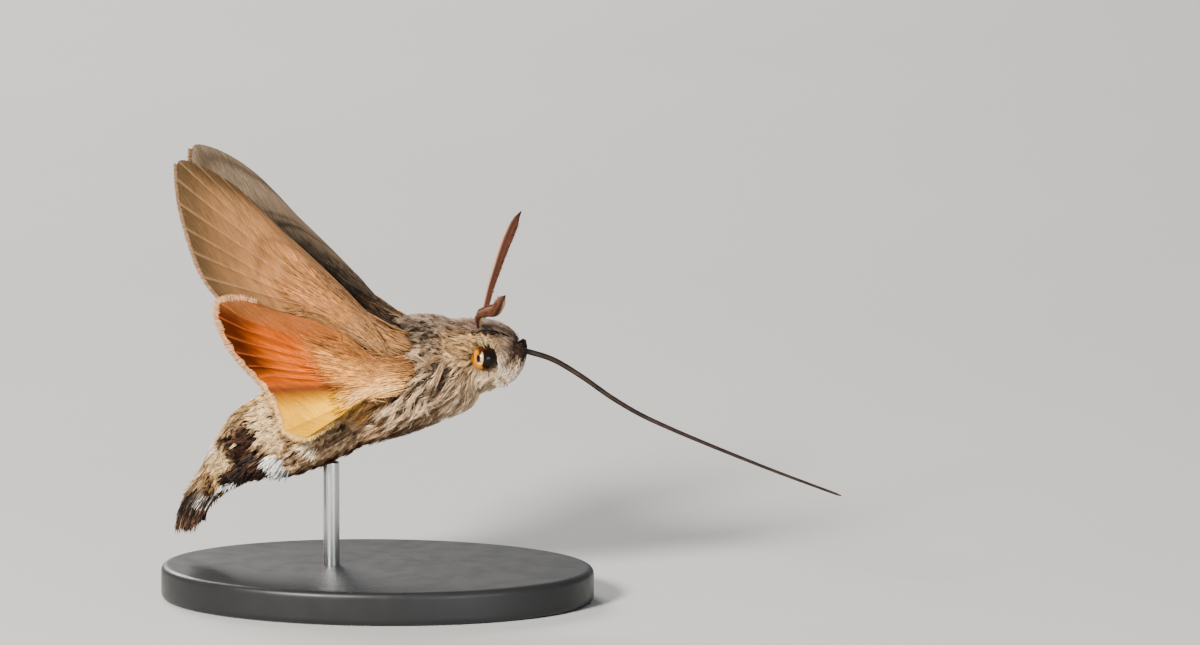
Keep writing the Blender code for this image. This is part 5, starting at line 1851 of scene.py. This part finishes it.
@dataclass
class Forewing:
    """A fore wing, raised and swept back."""

    body: BodyForm
    side: Side
    sizes: WingSizes = WingSizes()
    name: str = "forewing"
    root: tuple[float, float] = (7.9, 47.0)
    apex: tuple[float, float, float] = (-13.9, 4.4, 33.1)
    tornus: tuple[float, float, float] = (-10.9, 3.0, 22.9)
    clear: float = 0.81
    stations: int = 10
    camber: float = 0.55
    spread: float = 1.25
    scale: float = 0.94
    fringe_rays: tuple[float, float] = (5.3, 12.0)
    fringe_length: float = 0.28
    joint_reach: float = 1.1
    span: float = 12.0
    pleat: float = 0.025
    veins: tuple[Vein, ...] = (
        Vein("costa", None, 0, (12.2, -1.0)), Vein("subcosta", (6.0, -0.1), 3, (13.9, -1.2)),
        Vein("radius_1", (6.6, 0.35), 3, (16.2, -1.32)), Vein("radius_2", (8.4, 0.35), 4, (18.3, -1.15)),
        Vein("radius_4", (10.2, 0.60), 5, (20.3, -0.62)), Vein("radius_5", (10.3, 0.85), 5, (21.6, 0.25)),
        Vein("media_1", (10.3, 1.25), 5, (20.75, 1.55)), Vein("media_2", (10.1, 1.95), 5, (19.35, 2.95)),
        Vein("media_3", (9.7, 2.75), 5, (17.75, 4.15)), Vein("cubitus_1", (8.2, 2.85), 4, (16.1, 5.20)),
        Vein("cubitus_2", (6.1, 2.50), 3, (14.2, 6.15)), Vein("anal", (5.6, 2.95), 3, (11.9, 6.55)),
        Vein("dorsum", (4.6, 2.75), 3, (9.6, 5.55)),
    )
    stems: tuple[str, ...] = ("subcosta", "radius_1", "cubitus_1", "cubitus_2", "anal", "dorsum")
    bands: tuple[tuple[float, float, float], ...] = (
        (0.30, 0.016, 0.9), (0.60, 0.013, 0.9), (0.655, 0.010, 0.6), (0.93, 0.04, 0.6))

    def local(self) -> Array:
        """The grid in the wing's own plane: millimetres along it and across it."""
        last = len(self.veins) - 1
        grid = np.zeros((last + 1, self.stations + 1, 2))
        for ray, vein in enumerate(self.veins):
            root = np.array([0.0, self.spread * ray / last])
            for station in range(self.stations + 1):
                if vein.branch is None:
                    share = station / self.stations
                    at = blend(root, np.array(vein.end), share) - np.array([0.0, 0.2 * math.sin(math.pi * share)])
                elif station <= vein.station:
                    at = blend(root, np.array(vein.branch), station / vein.station)
                else:
                    share = (station - vein.station) / (self.stations - vein.station)
                    at = blend(np.array(vein.branch), np.array(vein.end), share)
                grid[ray, station] = at
        return grid

    def grid(self) -> tuple[Array, Array]:
        """The wing's grid of points, as (ray, station, 3), and the way its outer face looks."""
        root = self.body.points(np.array([self.root[0]]), np.array([self.side.value * math.radians(self.root[1])]),
                                np.array([self.clear]))[0]
        mirror = np.array([1.0, self.side.value, 1.0])
        apex, tornus = np.array(self.apex) * mirror, np.array(self.tornus) * mirror
        span = unit(apex - root)
        across = tornus - root
        across = unit(across - span * np.dot(across, span))
        outward = np.cross(across, span) * self.side.value
        local = self.local()
        chord = np.sin(np.pi * np.clip((local[..., 1] + 1.4) / 7.9, 0, 1))
        reach = np.minimum(local[..., 0] / 8, 1)
        points = (root + span * (local[..., :1] * self.scale) + across * (local[..., 1:] * self.scale)
                  - outward * (self.camber * chord * reach)[..., None])
        shape = points.shape
        return self.body.cleared(points.reshape(-1, 3), self.side, self.clear).reshape(shape), outward

    def veined(self, ray: Array, station: Array) -> Array:
        """How much of a vein lies at places of the wing, from 0 to 1."""
        nearest = np.rint(ray).astype(int)
        far = np.abs(ray - nearest)
        starts = np.array([0.0 if vein.branch is None or vein.name in self.stems else vein.station - 1.2
                           for vein in self.veins])
        there = station >= starts[nearest]
        vein = np.exp(-(far / 0.055) ** 2) * there
        cross = np.exp(-((station - 5.0) / 0.10) ** 2) * (ray > 4.9) * (ray < 8.1)
        return np.maximum(vein, cross)

    def tints(self, ray: Array, station: Array, face: Array) -> Array:
        """The wing's colours: tan and ochre below, grey-brown with dark bands above.

        Args:
            ray: Places across the wing, counted in veins.
            station: Places along it, counted in stations.
            face: 1 on the under face.

        Returns:
            A tint for each place.
        """
        share, over = station / self.stations, ray / (len(self.veins) - 1)
        vein = self.veined(ray, station)
        wavy = 0.5 * np.sin(over * 19) + 0.3 * np.sin(over * 41 + 1)
        under = washed((0.54, 0.225, 0.050), ((0.42, 0.180, 0.060), soft_step(share, 0.05, 0.30)),
                       ((0.22, 0.105, 0.042), soft_step(share, 0.42, 0.80)),
                       ((0.105, 0.062, 0.027), soft_step(share, 0.76, 1.0)),
                       ((0.17, 0.095, 0.040), soft_step(over, 0.75, 1.0) * 0.6),
                       ((0.13, 0.072, 0.038), (1 - soft_step(over, 0.03, 0.24)) * 0.75))
        clouds = 0.5 + 0.5 * np.sin(over * 9 + share * 5 + 0.8) * np.sin(share * 13 - over * 4)
        under = under * ((0.80 + 0.34 * clouds) * (1 - 0.35 * soft_step(share, 0.80, 0.98)))[:, None]
        band = np.exp(-((share - 0.60 - 0.012 * wavy) / 0.018) ** 2)
        under = washed(under, ((0.08, 0.038, 0.020), band * 0.4), ((0.50, 0.27, 0.12), vein * 0.32))
        lines = [((0.015, 0.010, 0.007),
                  np.exp(-((share - place - 0.018 * wavy + 0.05 * (over - 0.4)) / width) ** 2) * depth)
                 for place, width, depth in self.bands]
        dark = np.exp(-((share - 0.16) / 0.07) ** 2) * 0.6
        dot = np.exp(-(((station - 4.6) / 0.16) ** 2 + ((ray - 5.4) / 0.30) ** 2))
        upper = washed((0.075, 0.052, 0.034), ((0.115, 0.082, 0.054), soft_step(share, 0.3, 0.7)), *lines,
                       ((0.045, 0.036, 0.030), dark), ((0.012, 0.010, 0.010), dot))
        return washed(upper, (under * 0.84, face))

    @staticmethod
    def fringe_tint(share: Array) -> Array:
        """The fringe's tint along the margin."""
        return washed((0.22, 0.13, 0.07), ((0.40, 0.22, 0.12), share))

    @staticmethod
    def joint_tint(share: Array) -> Array:
        """The tint of the hair over the joint, dark in front."""
        return washed((0.012, 0.008, 0.006), ((0.34, 0.19, 0.09), soft_step(share, 0.12, 0.42)))

    def joint(self, share: Array) -> tuple[Array, Array]:
        """Where the wing is joined to the body: distances along the spine and angles from the back."""
        return np.full(len(share), self.root[0]), self.root[1] - 6 + 12 * share


@dataclass
class Hindwing:
    """A hind wing: its main field stands up, and its lobe folds down over the flank."""

    body: BodyForm
    side: Side
    sizes: WingSizes = WingSizes()
    name: str = "hindwing"
    root_along: tuple[float, float] = (8.9, 10.0)
    root_angle: tuple[float, float] = (72.0, 88.0)
    root_raise: float = 0.80
    clear: float = 0.78
    stations: int = 7
    pull: float = 0.18
    fringe_rays: tuple[float, float] = (0.6, 12.0)
    fringe_length: float = 0.46
    joint_reach: float = 2.2
    span: float = 9.0
    pleat: float = 0.045
    veins: tuple[Vein, ...] = (
        Vein("front_edge", None, 0.0, (-6.6, 4.15, 22.0)), Vein("subcosta", None, 0.0, (-9.3, 4.25, 22.75)),
        Vein("radial_sector", None, 0.35, (-10.95, 4.25, 22.55)), Vein("media_1", None, 0.45, (-11.15, 4.05, 21.5)),
        Vein("media_2", None, 0.45, (-10.7, 3.80, 20.1)), Vein("media_3", None, 0.45, (-10.0, 3.50, 18.8)),
        Vein("cubitus_1", None, 0.35, (-9.2, 3.20, 17.75)), Vein("cubitus_2", None, 0.25, (-8.35, 2.95, 16.8)),
        Vein("fold", None, 0.0, (-7.6, 3.10, 16.0)), Vein("anal_1", None, 0.0, (-6.75, 4.25, 14.8)),
        Vein("anal_2", None, 0.0, (-6.1, 4.85, 13.3)), Vein("anal_3", None, 0.0, (-4.6, 4.98, 12.8)),
        Vein("inner_edge", None, 0.0, (-2.6, 4.75, 14.0)),
    )

    def grid(self) -> tuple[Array, Array]:
        """The wing's grid of points, as (ray, station, 3), and the way its outer face looks."""
        along, angle = np.array(self.root_along), np.array(self.root_angle)
        roots = self.body.points(along, self.side.value * np.radians(angle), np.full(2, self.root_raise))
        mirror = np.array([1.0, self.side.value, 1.0])
        ends = np.array([vein.end for vein in self.veins]) * mirror
        last = len(self.veins) - 1
        share = np.linspace(0, 1, self.stations + 1)
        wave = np.sin(np.pi * share)[:, None]
        rows = []
        for ray, vein in enumerate(self.veins):
            root = blend(roots[0], roots[1], ray / last)
            at = root + (ends[ray] - root) * share[:, None]
            if vein.station:
                turn = np.minimum(share / vein.station / 2, 1 - (share - vein.station) / 2)
                pull = np.maximum(self.pull * np.sin(np.pi * turn), 0) * (share < 1)
                at = at + (root + (ends[5] - root) * share[:, None] - at) * pull[:, None]
            if vein.name == "front_edge":
                at = at + np.array([0.35, self.side.value * 0.05, 0.75]) * wave
            if vein.name == "inner_edge":
                at = at + np.array([0.0, self.side.value * 0.3, 0.3]) * wave
            at = at + np.array([0.0, self.side.value * 0.45, 0.0]) * wave
            rows.append(self.body.cleared(at, self.side, self.clear))
        return np.array(rows), np.array([0.0, float(self.side.value), 0.0])

    def veined(self, ray: Array, station: Array) -> Array:
        """How much of a vein lies at places of the wing, from 0 to 1."""
        nearest = np.rint(ray).astype(int)
        starts = np.array([vein.station * self.stations for vein in self.veins])
        starts = np.where(starts >= 0.4 * self.stations, starts - 0.6, 0.0)
        shown = np.array([vein.name not in ("front_edge", "fold", "inner_edge") for vein in self.veins])
        there = (station >= starts[nearest]) & shown[nearest]
        vein = np.exp(-((ray - nearest) / 0.055) ** 2) * there
        cross = np.exp(-((station - 3.1) / 0.10) ** 2) * (ray > 2.0) * (ray < 6.0)
        return np.maximum(vein, cross)

    def tints(self, ray: Array, station: Array, face: Array) -> Array:
        """The wing's colours: orange with a rusty margin and a yellow lobe that is cream at its root, with painted
        shade along the fold, painted light shining through the middle of the field and a painted pool of light on the
        lobe.

        Args:
            ray: Places across the wing, counted in veins.
            station: Places along it, counted in stations.
            face: 1 on the under face.

        Returns:
            A tint for each place.
        """
        share = station / self.stations
        vein = self.veined(ray, station)
        # Painted light: a brighter orange in the middle of the field, where light shines through the wing.
        glow = np.exp(-((ray - 5.6) / 1.5) ** 2) * soft_step(share, 0.34, 0.58)
        streaks = 0.5 + 0.5 * np.sin(ray * 23 + 2 * np.sin(station * 1.7))
        rust = soft_step(share, 0.66, 0.93) * (1 - soft_step(ray, 6.0, 7.6))
        basal = (1 - soft_step(share, 0.16, 0.34)) * soft_step(ray, 4.5, 7.0)
        field = washed((0.56, 0.245, 0.058), ((0.40, 0.068, 0.0), soft_step(share, 0.32, 0.58)),
                       ((0.56, 0.100, 0.0), glow),
                       ((0.15, 0.020, 0.0), streaks * 0.5 * soft_step(share, 0.3, 0.7)),
                       ((0.030, 0.004, 0.0), rust * 0.96),
                       ((0.20, 0.068, 0.018), (1 - soft_step(ray, 1.2, 2.8)) * 0.8),
                       ((1.0, 0.47, 0.11), basal))
        # Painted light: a brighter yellow pool in the middle of the lobe, where light falls on it.
        glow = np.exp(-((ray - 9.8) / 0.8) ** 2 - ((share - 0.55) / 0.2) ** 2)
        lobe = washed((1.0, 0.58, 0.22), ((0.56, 0.260, 0.0), soft_step(share, 0.24, 0.48)),
                      ((0.84, 0.42, 0.0), glow * 0.8), ((0.44, 0.17, 0.0), soft_step(ray, 10.8, 12.0) * 0.6),
                      ((0.20, 0.055, 0.0), (1 - soft_step(ray, 8.3, 9.4)) * 0.85))
        # Painted shade: a dark streak along the fold between the field and the lobe.
        fold = np.exp(-((ray - 8.05) / 0.36) ** 2) * soft_step(share, 0.22, 0.42)
        tint = washed(field, (lobe, soft_step(ray, 8.0, 8.5)), ((0.090, 0.024, 0.004), fold * 0.92),
                      ((0.33, 0.075, 0.012), vein * 0.45 * (ray < 8)))
        brown = soft_step(share, 0.80, 0.92) * (1 - soft_step(ray, 8.5, 10.0)) * 0.92
        root = (1 - soft_step(share, 0.12, 0.34)) * 0.85
        return washed(tint * 0.9, ((0.040, 0.020, 0.012), np.maximum(brown, root)), (tint, face))

    @staticmethod
    def fringe_tint(share: Array) -> Array:
        """The fringe's tint along the margin."""
        return washed((0.66, 0.34, 0.16), ((0.95, 0.58, 0.19), soft_step(share, 0.5, 0.9)))

    @staticmethod
    def joint_tint(share: Array) -> Array:
        """The tint of the hair over the joint, cream behind."""
        return washed((0.36, 0.17, 0.065), ((1.0, 0.58, 0.22), soft_step(share, 0.35, 0.62)))

    def joint(self, share: Array) -> tuple[Array, Array]:
        """Where the wing is joined to the body: distances along the spine and angles from the back."""
        return blend(*self.root_along, share), blend(*self.root_angle, share)


@dataclass
class WingMaker:
    """Builds a wing's sheet, its fringe and the hair at its root from its form."""

    wing: Forewing | Hindwing
    model: StrandModel
    fringe: int = 900
    hairs: int = 1050
    hair_length: float = 1.5

    def __post_init__(self) -> None:
        """Reads the form's grid."""
        self.control, self.outward = self.wing.grid()
        self.rays, self.stations = self.control.shape[0] - 1, self.control.shape[1] - 1

    def at(self, ray: Array, station: Array) -> Array:
        """Points of the wing's middle sheet at pairs of ray and station."""
        last = self.rays
        k = np.clip(np.floor(ray).astype(int), 0, last - 1)
        rows = [curve_through(self.control[n], station / self.stations) for n in range(last + 1)]
        stack = np.stack(rows, 0)
        pick = np.arange(len(ray))
        p1, p2 = stack[k, pick], stack[k + 1, pick]
        p0 = np.where((k > 0)[:, None], stack[np.maximum(k - 1, 0), pick], 2 * p1 - p2)
        p3 = np.where((k + 2 <= last)[:, None], stack[np.minimum(k + 2, last), pick], 2 * p2 - p1)
        t = (ray - k)[:, None]
        return cubic(p0, p1, p2, p3, t)

    def sheet(self) -> bpy.types.Object:
        """The thin veined sheet of the wing."""
        splits = np.array(self.wing.sizes.splits)
        rays = np.concatenate([np.concatenate([k + splits for k in range(self.rays)]), [self.rays]])
        stations = np.linspace(0, self.stations, self.stations * self.wing.sizes.steps + 1)
        ray, station = (part.ravel() for part in np.meshgrid(rays, stations, indexing="ij"))
        middle = self.at(ray, station)
        ridge = self.wing.veined(ray, station) * self.wing.sizes.ridge
        rim = np.where((station > self.stations - 0.05) | (ray < 0.04) | (ray > self.rays - 0.04), 0.4, 1.0)
        half = (self.wing.sizes.membrane / 2 + ridge) * rim
        pleat = self.wing.pleat * np.cos(ray * 2 * np.pi) * soft_step(station / self.stations, 0.2, 0.5)
        shape = (len(rays), len(stations), 3)
        middle = middle + self.outward * pleat[:, None]
        upper = (middle - self.outward * half[:, None]).reshape(shape)
        under = (middle + self.outward * half[:, None]).reshape(shape)
        obj = sheet(f"{self.wing.name}_{self.wing.side.word}", upper, under)
        row = np.rint(read_layer(obj, "row")).astype(int)
        column = np.rint(read_layer(obj, "column")).astype(int)
        face = read_layer(obj, "face")
        paint(obj, self.wing.tints(rays[row], stations[column], face))
        run = np.linalg.norm(np.diff(middle.reshape(shape), axis=1), axis=2)
        along = np.concatenate([np.zeros((len(rays), 1)), np.cumsum(run, axis=1)], 1)
        wide = np.linalg.norm(np.diff(middle.reshape(shape), axis=0), axis=2)
        across = np.concatenate([np.zeros((1, len(stations))), np.cumsum(wide, axis=0)], 0)
        lay_map(obj, "lie", along[row, column], across[row, column] + face * 40)
        return obj

    def fringe_strands(self, chance: np.random.Generator) -> Strands:
        """The fringe of scales along the outer margin."""
        count = self.fringe
        share = (np.arange(count) + chance.random(count)) / count
        ray = blend(*self.wing.fringe_rays, share)
        last = np.full(count, float(self.stations))
        margin, inner = self.at(ray, last), self.at(ray, last - 0.25)
        side = self.at(np.minimum(ray + 0.05, self.rays), last) - self.at(np.maximum(ray - 0.05, 0), last)
        out = unit(np.cross(unit(side), self.outward))
        out = out * np.sign(np.einsum("ij,ij->i", out, margin - inner))[:, None]
        out = unit(out * 0.8 + unit(margin - inner) * 0.35 + chance.normal(0, 0.10, (count, 3)))
        length = self.wing.fringe_length * chance.uniform(0.65, 1.15, count)
        steps = np.array([-0.35, 0.2, 0.65, 1.0])
        off = self.outward * chance.uniform(-0.05, 0.05, count)[:, None]
        paths = (margin + off)[:, None] + out[:, None] * (length[:, None] * steps)[..., None]
        tint = self.wing.fringe_tint(share) * chance.uniform(0.75, 1.1, count)[:, None]
        place = np.stack([share, 0.3 + 0.4 * chance.random(count)], 1)
        # The roots are painted at seven tenths of the tint: painted shade among the fringe's roots.
        return Strands(paths, np.tile(self.outward, (count, 1)), chance.uniform(0.05, 0.10, count),
                       np.full(count, 0.025), tint * 0.7, tint, place)

    def root_hair(self, chance: np.random.Generator) -> Strands:
        """The long hair that runs out over the root of both faces."""
        lots = []
        for face in Face:
            count = self.hairs
            ray = chance.uniform(0.1, self.rays - 0.1, count)
            start = chance.random(count) ** 1.5 * 0.42 * self.stations
            length = self.hair_length * chance.uniform(0.6, 1.15, count)
            stations = start[:, None] + (length / self.wing.span * self.stations)[:, None] * STEPS
            rays = ray[:, None] + chance.normal(0, 0.25, count)[:, None] * STEPS
            flat = self.at(np.clip(rays, 0, self.rays).ravel(), np.clip(stations, 0, self.stations).ravel())
            way = 1.0 if face is Face.UNDER else -1.0
            lift = 0.16 * chance.uniform(0.1, 1.2, count)
            raised = np.stack([np.zeros(count), 0.08 + 0.4 * lift, 0.08 + 0.8 * lift, 0.08 + lift], 1)
            paths = flat.reshape(count, 4, 3) + self.outward * (way * raised)[..., None]
            lots.append(self.hair(paths, way, face, ray, start + 0.6, chance))
        return Strands.together(lots)

    def joint_hair(self, body: BodyForm, chance: np.random.Generator) -> Strands:
        """The hair that runs from the body's side over the wing's joint."""
        lots = []
        for face in Face:
            count = self.hairs // 2
            ray = chance.uniform(0, self.rays, count)
            share = ray / self.rays
            along, degrees = self.wing.joint(share)
            way = 1.0 if face is Face.UNDER else -1.0
            along = along - chance.uniform(-0.5, self.wing.joint_reach if face is Face.UNDER else 0.7, count)
            degrees = degrees + chance.normal(0, 5, count) + (4.0 if face is Face.UNDER else -11.0)
            turn = self.wing.side.value * np.radians(degrees)
            station = chance.uniform(0.5, 2.2, count) * self.stations / 9
            end = self.at(ray, station) + self.outward * (way * chance.uniform(0.1, 0.28, count))[:, None]
            root = body.points(along, turn, np.full(count, -0.25))
            rise = body.points(along + 0.35, turn, chance.uniform(0.40, 0.75, count))
            over = blend(rise, end, 0.5) + body.facing(along, turn) * 0.22
            hair = self.hair(np.stack([root, rise, over, end], 1), way, face, ray, station + 0.8, chance)
            near, tint = chance.uniform(0.2, 0.9, count)[:, None], self.wing.joint_tint(share)
            # The roots take the joint's tint at eight tenths: painted shade near the skin.
            hair.root_tint[:] = blend(hair.root_tint, tint * 0.8, near)
            hair.tip_tint[:] = blend(hair.tip_tint, tint, near * 0.6)
            lots.append(hair)
        return Strands.together(lots)

    def hair(self, paths: Array, way: float, face: Face, ray: Array, station: Array,
             chance: np.random.Generator) -> Strands:
        """Hair in the wing's own colours.

        Args:
            paths: The hairs' points.
            way: 1 where they stand on the outer face, and -1 on the inner face.
            face: The face that they stand on.
            ray: Their places across the wing.
            station: Their places along it.
            chance: The source of their unevenness.

        Returns:
            The strands.
        """
        count = len(paths)
        own = self.wing.tints(ray, np.minimum(station, self.stations * 0.5), np.full(count, float(face.value)))
        uneven = np.minimum(np.exp(chance.normal(0.12, 0.34, count)), 1 / own.max(axis=1))
        tint = own * uneven[:, None]
        place = np.stack([ray / self.rays * 0.5 + 0.5 * face.value, np.clip(station / self.stations, 0, 1)], 1)
        # The roots are painted at eight tenths of the tint: painted shade near the wing.
        return Strands(paths, np.tile(self.outward * way, (count, 1)), chance.uniform(0.060, 0.110, count),
                       np.full(count, 0.025), tint * 0.8, tint, place)

    def build(self, finish: bpy.types.Material, coat: bpy.types.Material, chance: np.random.Generator) -> None:
        """Builds and dresses the wing, its fringe and the hair at its root.

        Args:
            finish: The sheet's finish.
            coat: The fringe's and hair's finish.
            chance: The source of unevenness.
        """
        word, name = self.wing.side.word, self.wing.name
        dress(self.sheet(), finish, name, f"{name}_{word}")
        dress(self.model.build(f"fringe_{name}_{word}", self.fringe_strands(chance)), coat, name)
        hair = Strands.together([self.root_hair(chance), self.joint_hair(self.wing.body, chance)])
        dress(self.model.build(f"hair_{name}_{word}", hair), coat, name)


@dataclass(frozen=True)
class Stand:
    """The plain display stand: an oval base of painted steel with a rounded rim, and one short steel rod."""

    half_length: float = 16.0
    half_width: float = 11.5
    height: float = 2.5
    rim: float = 0.55
    rod_at: float = -3.4
    rod_radius: float = 0.6
    rod_foot: float = 2.3
    rod_top: float = 10.2
    rod_rim: float = 0.12
    base_sides: int = 180
    rod_sides: int = 48

    def base(self) -> bpy.types.Object:
        """The base: a disc drawn out to an oval, its edges rounded."""
        clear_selection()
        bpy.ops.mesh.primitive_cylinder_add(vertices=self.base_sides, radius=1, depth=self.height * MM,
                                            location=(0, 0, self.height / 2 * MM))
        obj = start_piece("stand_base_dressed")
        bpy.ops.mesh.select_all(action="SELECT")
        bpy.ops.transform.resize(value=(self.half_length * MM, self.half_width * MM, 1))
        self.round_caps(obj, self.rim)
        return dress(obj, PaintFinish().material(), "stand_base", "stand_base")

    def rod(self) -> bpy.types.Object:
        """The rod, from inside the base up into the coat of the belly."""
        height = self.rod_top - self.rod_foot
        clear_selection()
        bpy.ops.mesh.primitive_cylinder_add(vertices=self.rod_sides, radius=self.rod_radius * MM, depth=height * MM,
                                            location=(self.rod_at * MM, 0, (self.rod_foot + height / 2) * MM))
        obj = start_piece("stand_rod_dressed")
        self.round_caps(obj, self.rod_rim)
        return dress(obj, SteelFinish().material(), "stand_rod", "stand_rod")

    @staticmethod
    def round_caps(obj: bpy.types.Object, width: float) -> None:
        """Rounds the edges of a cylinder's two caps, leaves edit mode and shades it."""
        bm = bmesh.from_edit_mesh(obj.data)
        for edge in bm.edges:
            edge.select = any(len(face.verts) > 4 for face in edge.link_faces)
        bmesh.update_edit_mesh(obj.data)
        bpy.ops.mesh.bevel(offset=width * MM, segments=6, profile=0.6)
        close_edit()
        bpy.ops.object.shade_smooth_by_angle(angle=math.radians(40))
        bpy.ops.object.transform_apply(location=True, rotation=True, scale=True)

    def build(self) -> None:
        """Builds both pieces."""
        self.base()
        self.rod()


@dataclass(frozen=True)
class Lamp:
    """One soft area light: where it stands, how wide it is, its power in watts and its tint."""

    name: str
    place: tuple[float, float, float]
    width: float
    power: float
    tint: Tint = (1.0, 1.0, 1.0)


@dataclass(frozen=True)
class Studio:
    """The pale floor, the soft lights and the camera at the photograph's angle and framing."""

    azimuth: float = 6.0
    elevation: float = 9.0
    distance: float = 0.9
    view_width: float = 0.0882
    centre_right: float = 16.4
    centre_up: float = 4.55
    datum: float = 16.0
    floor_size: float = 6.0
    floor_depth: float = 0.02
    lamp_aim: float = 0.018
    room_tint: Tint = (0.80, 0.84, 0.88)
    room_strength: float = 0.40
    sensor: float = 36.0
    lamps: tuple[Lamp, ...] = (
        Lamp("key", (-0.26, -0.49, 0.31), 0.14, 12.5, (1.0, 0.95, 0.87)),
        Lamp("fill", (0.36, -0.50, 0.04), 0.36, 2.7, (0.93, 0.97, 1.0)),
        Lamp("rim", (-0.25, 0.45, 0.35), 0.30, 4.5, (1.0, 0.95, 0.88)),
    )

    def floor(self) -> None:
        """The floor: a plane with its rim extruded straight down."""
        clear_selection()
        bpy.ops.mesh.primitive_plane_add(size=self.floor_size)
        obj = start_piece("floor")
        bpy.ops.mesh.extrude_region_move(TRANSFORM_OT_translate={"value": (0, 0, -self.floor_depth)})
        close_edit()
        obj.data.materials.append(FloorFinish().material())

    def light(self) -> None:
        """The lamps and the pale room round them."""
        aim = Vector((0.0, 0.0, self.lamp_aim))
        for lamp in self.lamps:
            data = bpy.data.lights.new(lamp.name, "AREA")
            data.shape, data.size, data.energy, data.color = "DISK", lamp.width, lamp.power, lamp.tint
            obj = bpy.data.objects.new(lamp.name, data)
            obj.location = lamp.place
            obj.rotation_euler = (aim - Vector(lamp.place)).to_track_quat("-Z", "Y").to_euler()
            bpy.context.scene.collection.objects.link(obj)
        world = bpy.data.worlds.new("studio")
        world.use_nodes = True
        shade = world.node_tree.nodes["Background"]
        shade.inputs["Color"].default_value = (*self.room_tint, 1)
        shade.inputs["Strength"].default_value = self.room_strength
        bpy.context.scene.world = world

    def camera(self) -> None:
        """A long lens at the photograph's angle, aimed at the middle of its frame."""
        a, e = math.radians(self.azimuth), math.radians(self.elevation)
        back = Vector((math.sin(a) * math.cos(e), -math.cos(a) * math.cos(e), math.sin(e)))
        right = Vector((math.cos(a), math.sin(a), 0.0))
        up = back.cross(right)
        aim = (Vector((0, 0, self.datum)) + up * self.centre_up + right * self.centre_right) * MM
        data = bpy.data.cameras.new("camera")
        data.sensor_width = self.sensor
        data.lens = data.sensor_width * self.distance / self.view_width
        data.clip_start, data.clip_end = 0.01, 30.0
        obj = bpy.data.objects.new("camera", data)
        obj.location = aim + back * self.distance
        obj.rotation_mode = "QUATERNION"
        obj.rotation_quaternion = (-back).to_track_quat("-Z", "Y")
        bpy.context.scene.collection.objects.link(obj)
        bpy.context.scene.camera = obj

    def build(self) -> None:
        """Sets up the floor, the lights and the camera."""
        self.floor()
        self.light()
        self.camera()


def main() -> None:
    """Builds every piece in order."""
    logging.basicConfig(level=logging.INFO, format="%(message)s")
    chance = np.random.default_rng(SEED)
    Effects.build()
    Studio().build()
    body, model = BodyForm(), StrandModel()
    coat = CoatFinish("moth_coat").material()
    feeler = CoatFinish("feeler_scales", 0.2, 0.85, 1.1, 5000.0).material()
    tail = CoatFinish("tail_scales", 0.2, 0.85, 1.12, 3500.0).material()
    Trunk(body, BodyMarkings(), Palps(), model).build(coat, SkinFinish().material(), chance)
    grown = Strands.together([tuft.grow(body, chance) for tuft in SIDE_TUFTS])
    dress(model.build("side_tufts", grown), tail, "dark_coat")
    dress(model.build("tail_scales", TailFan().grow(chance)), tail, "dark_coat")
    legs = Legs()
    horn = HornFinish("leg_horn", (0.050, 0.024, 0.013), (0.26, 0.135, 0.070), 0.35, 0.55, 60.0).material()
    tongue = HornFinish("tongue_horn", (0.006, 0.004, 0.003), (0.035, 0.015, 0.009), 0.26, 0.42, 150.0, 0.15)
    wings = {"forewing": WingFinish("brown_wing_scales").material(),
             "hindwing": WingFinish("orange_wing_scales", 0.26).material()}
    for side in Side:
        Eyes().build(side)
        Feelers().build(body, model, feeler, feeler, side, chance)
        WingMaker(Forewing(body, side), model).build(wings["forewing"], coat, chance)
        WingMaker(Hindwing(body, side), model).build(wings["hindwing"], coat, chance)
        for route in legs.routes:
            legs.build(body, route, side, horn)
    Tongue().build(tongue.material())
    Stand().build()


if __name__ == "__main__":
    main()
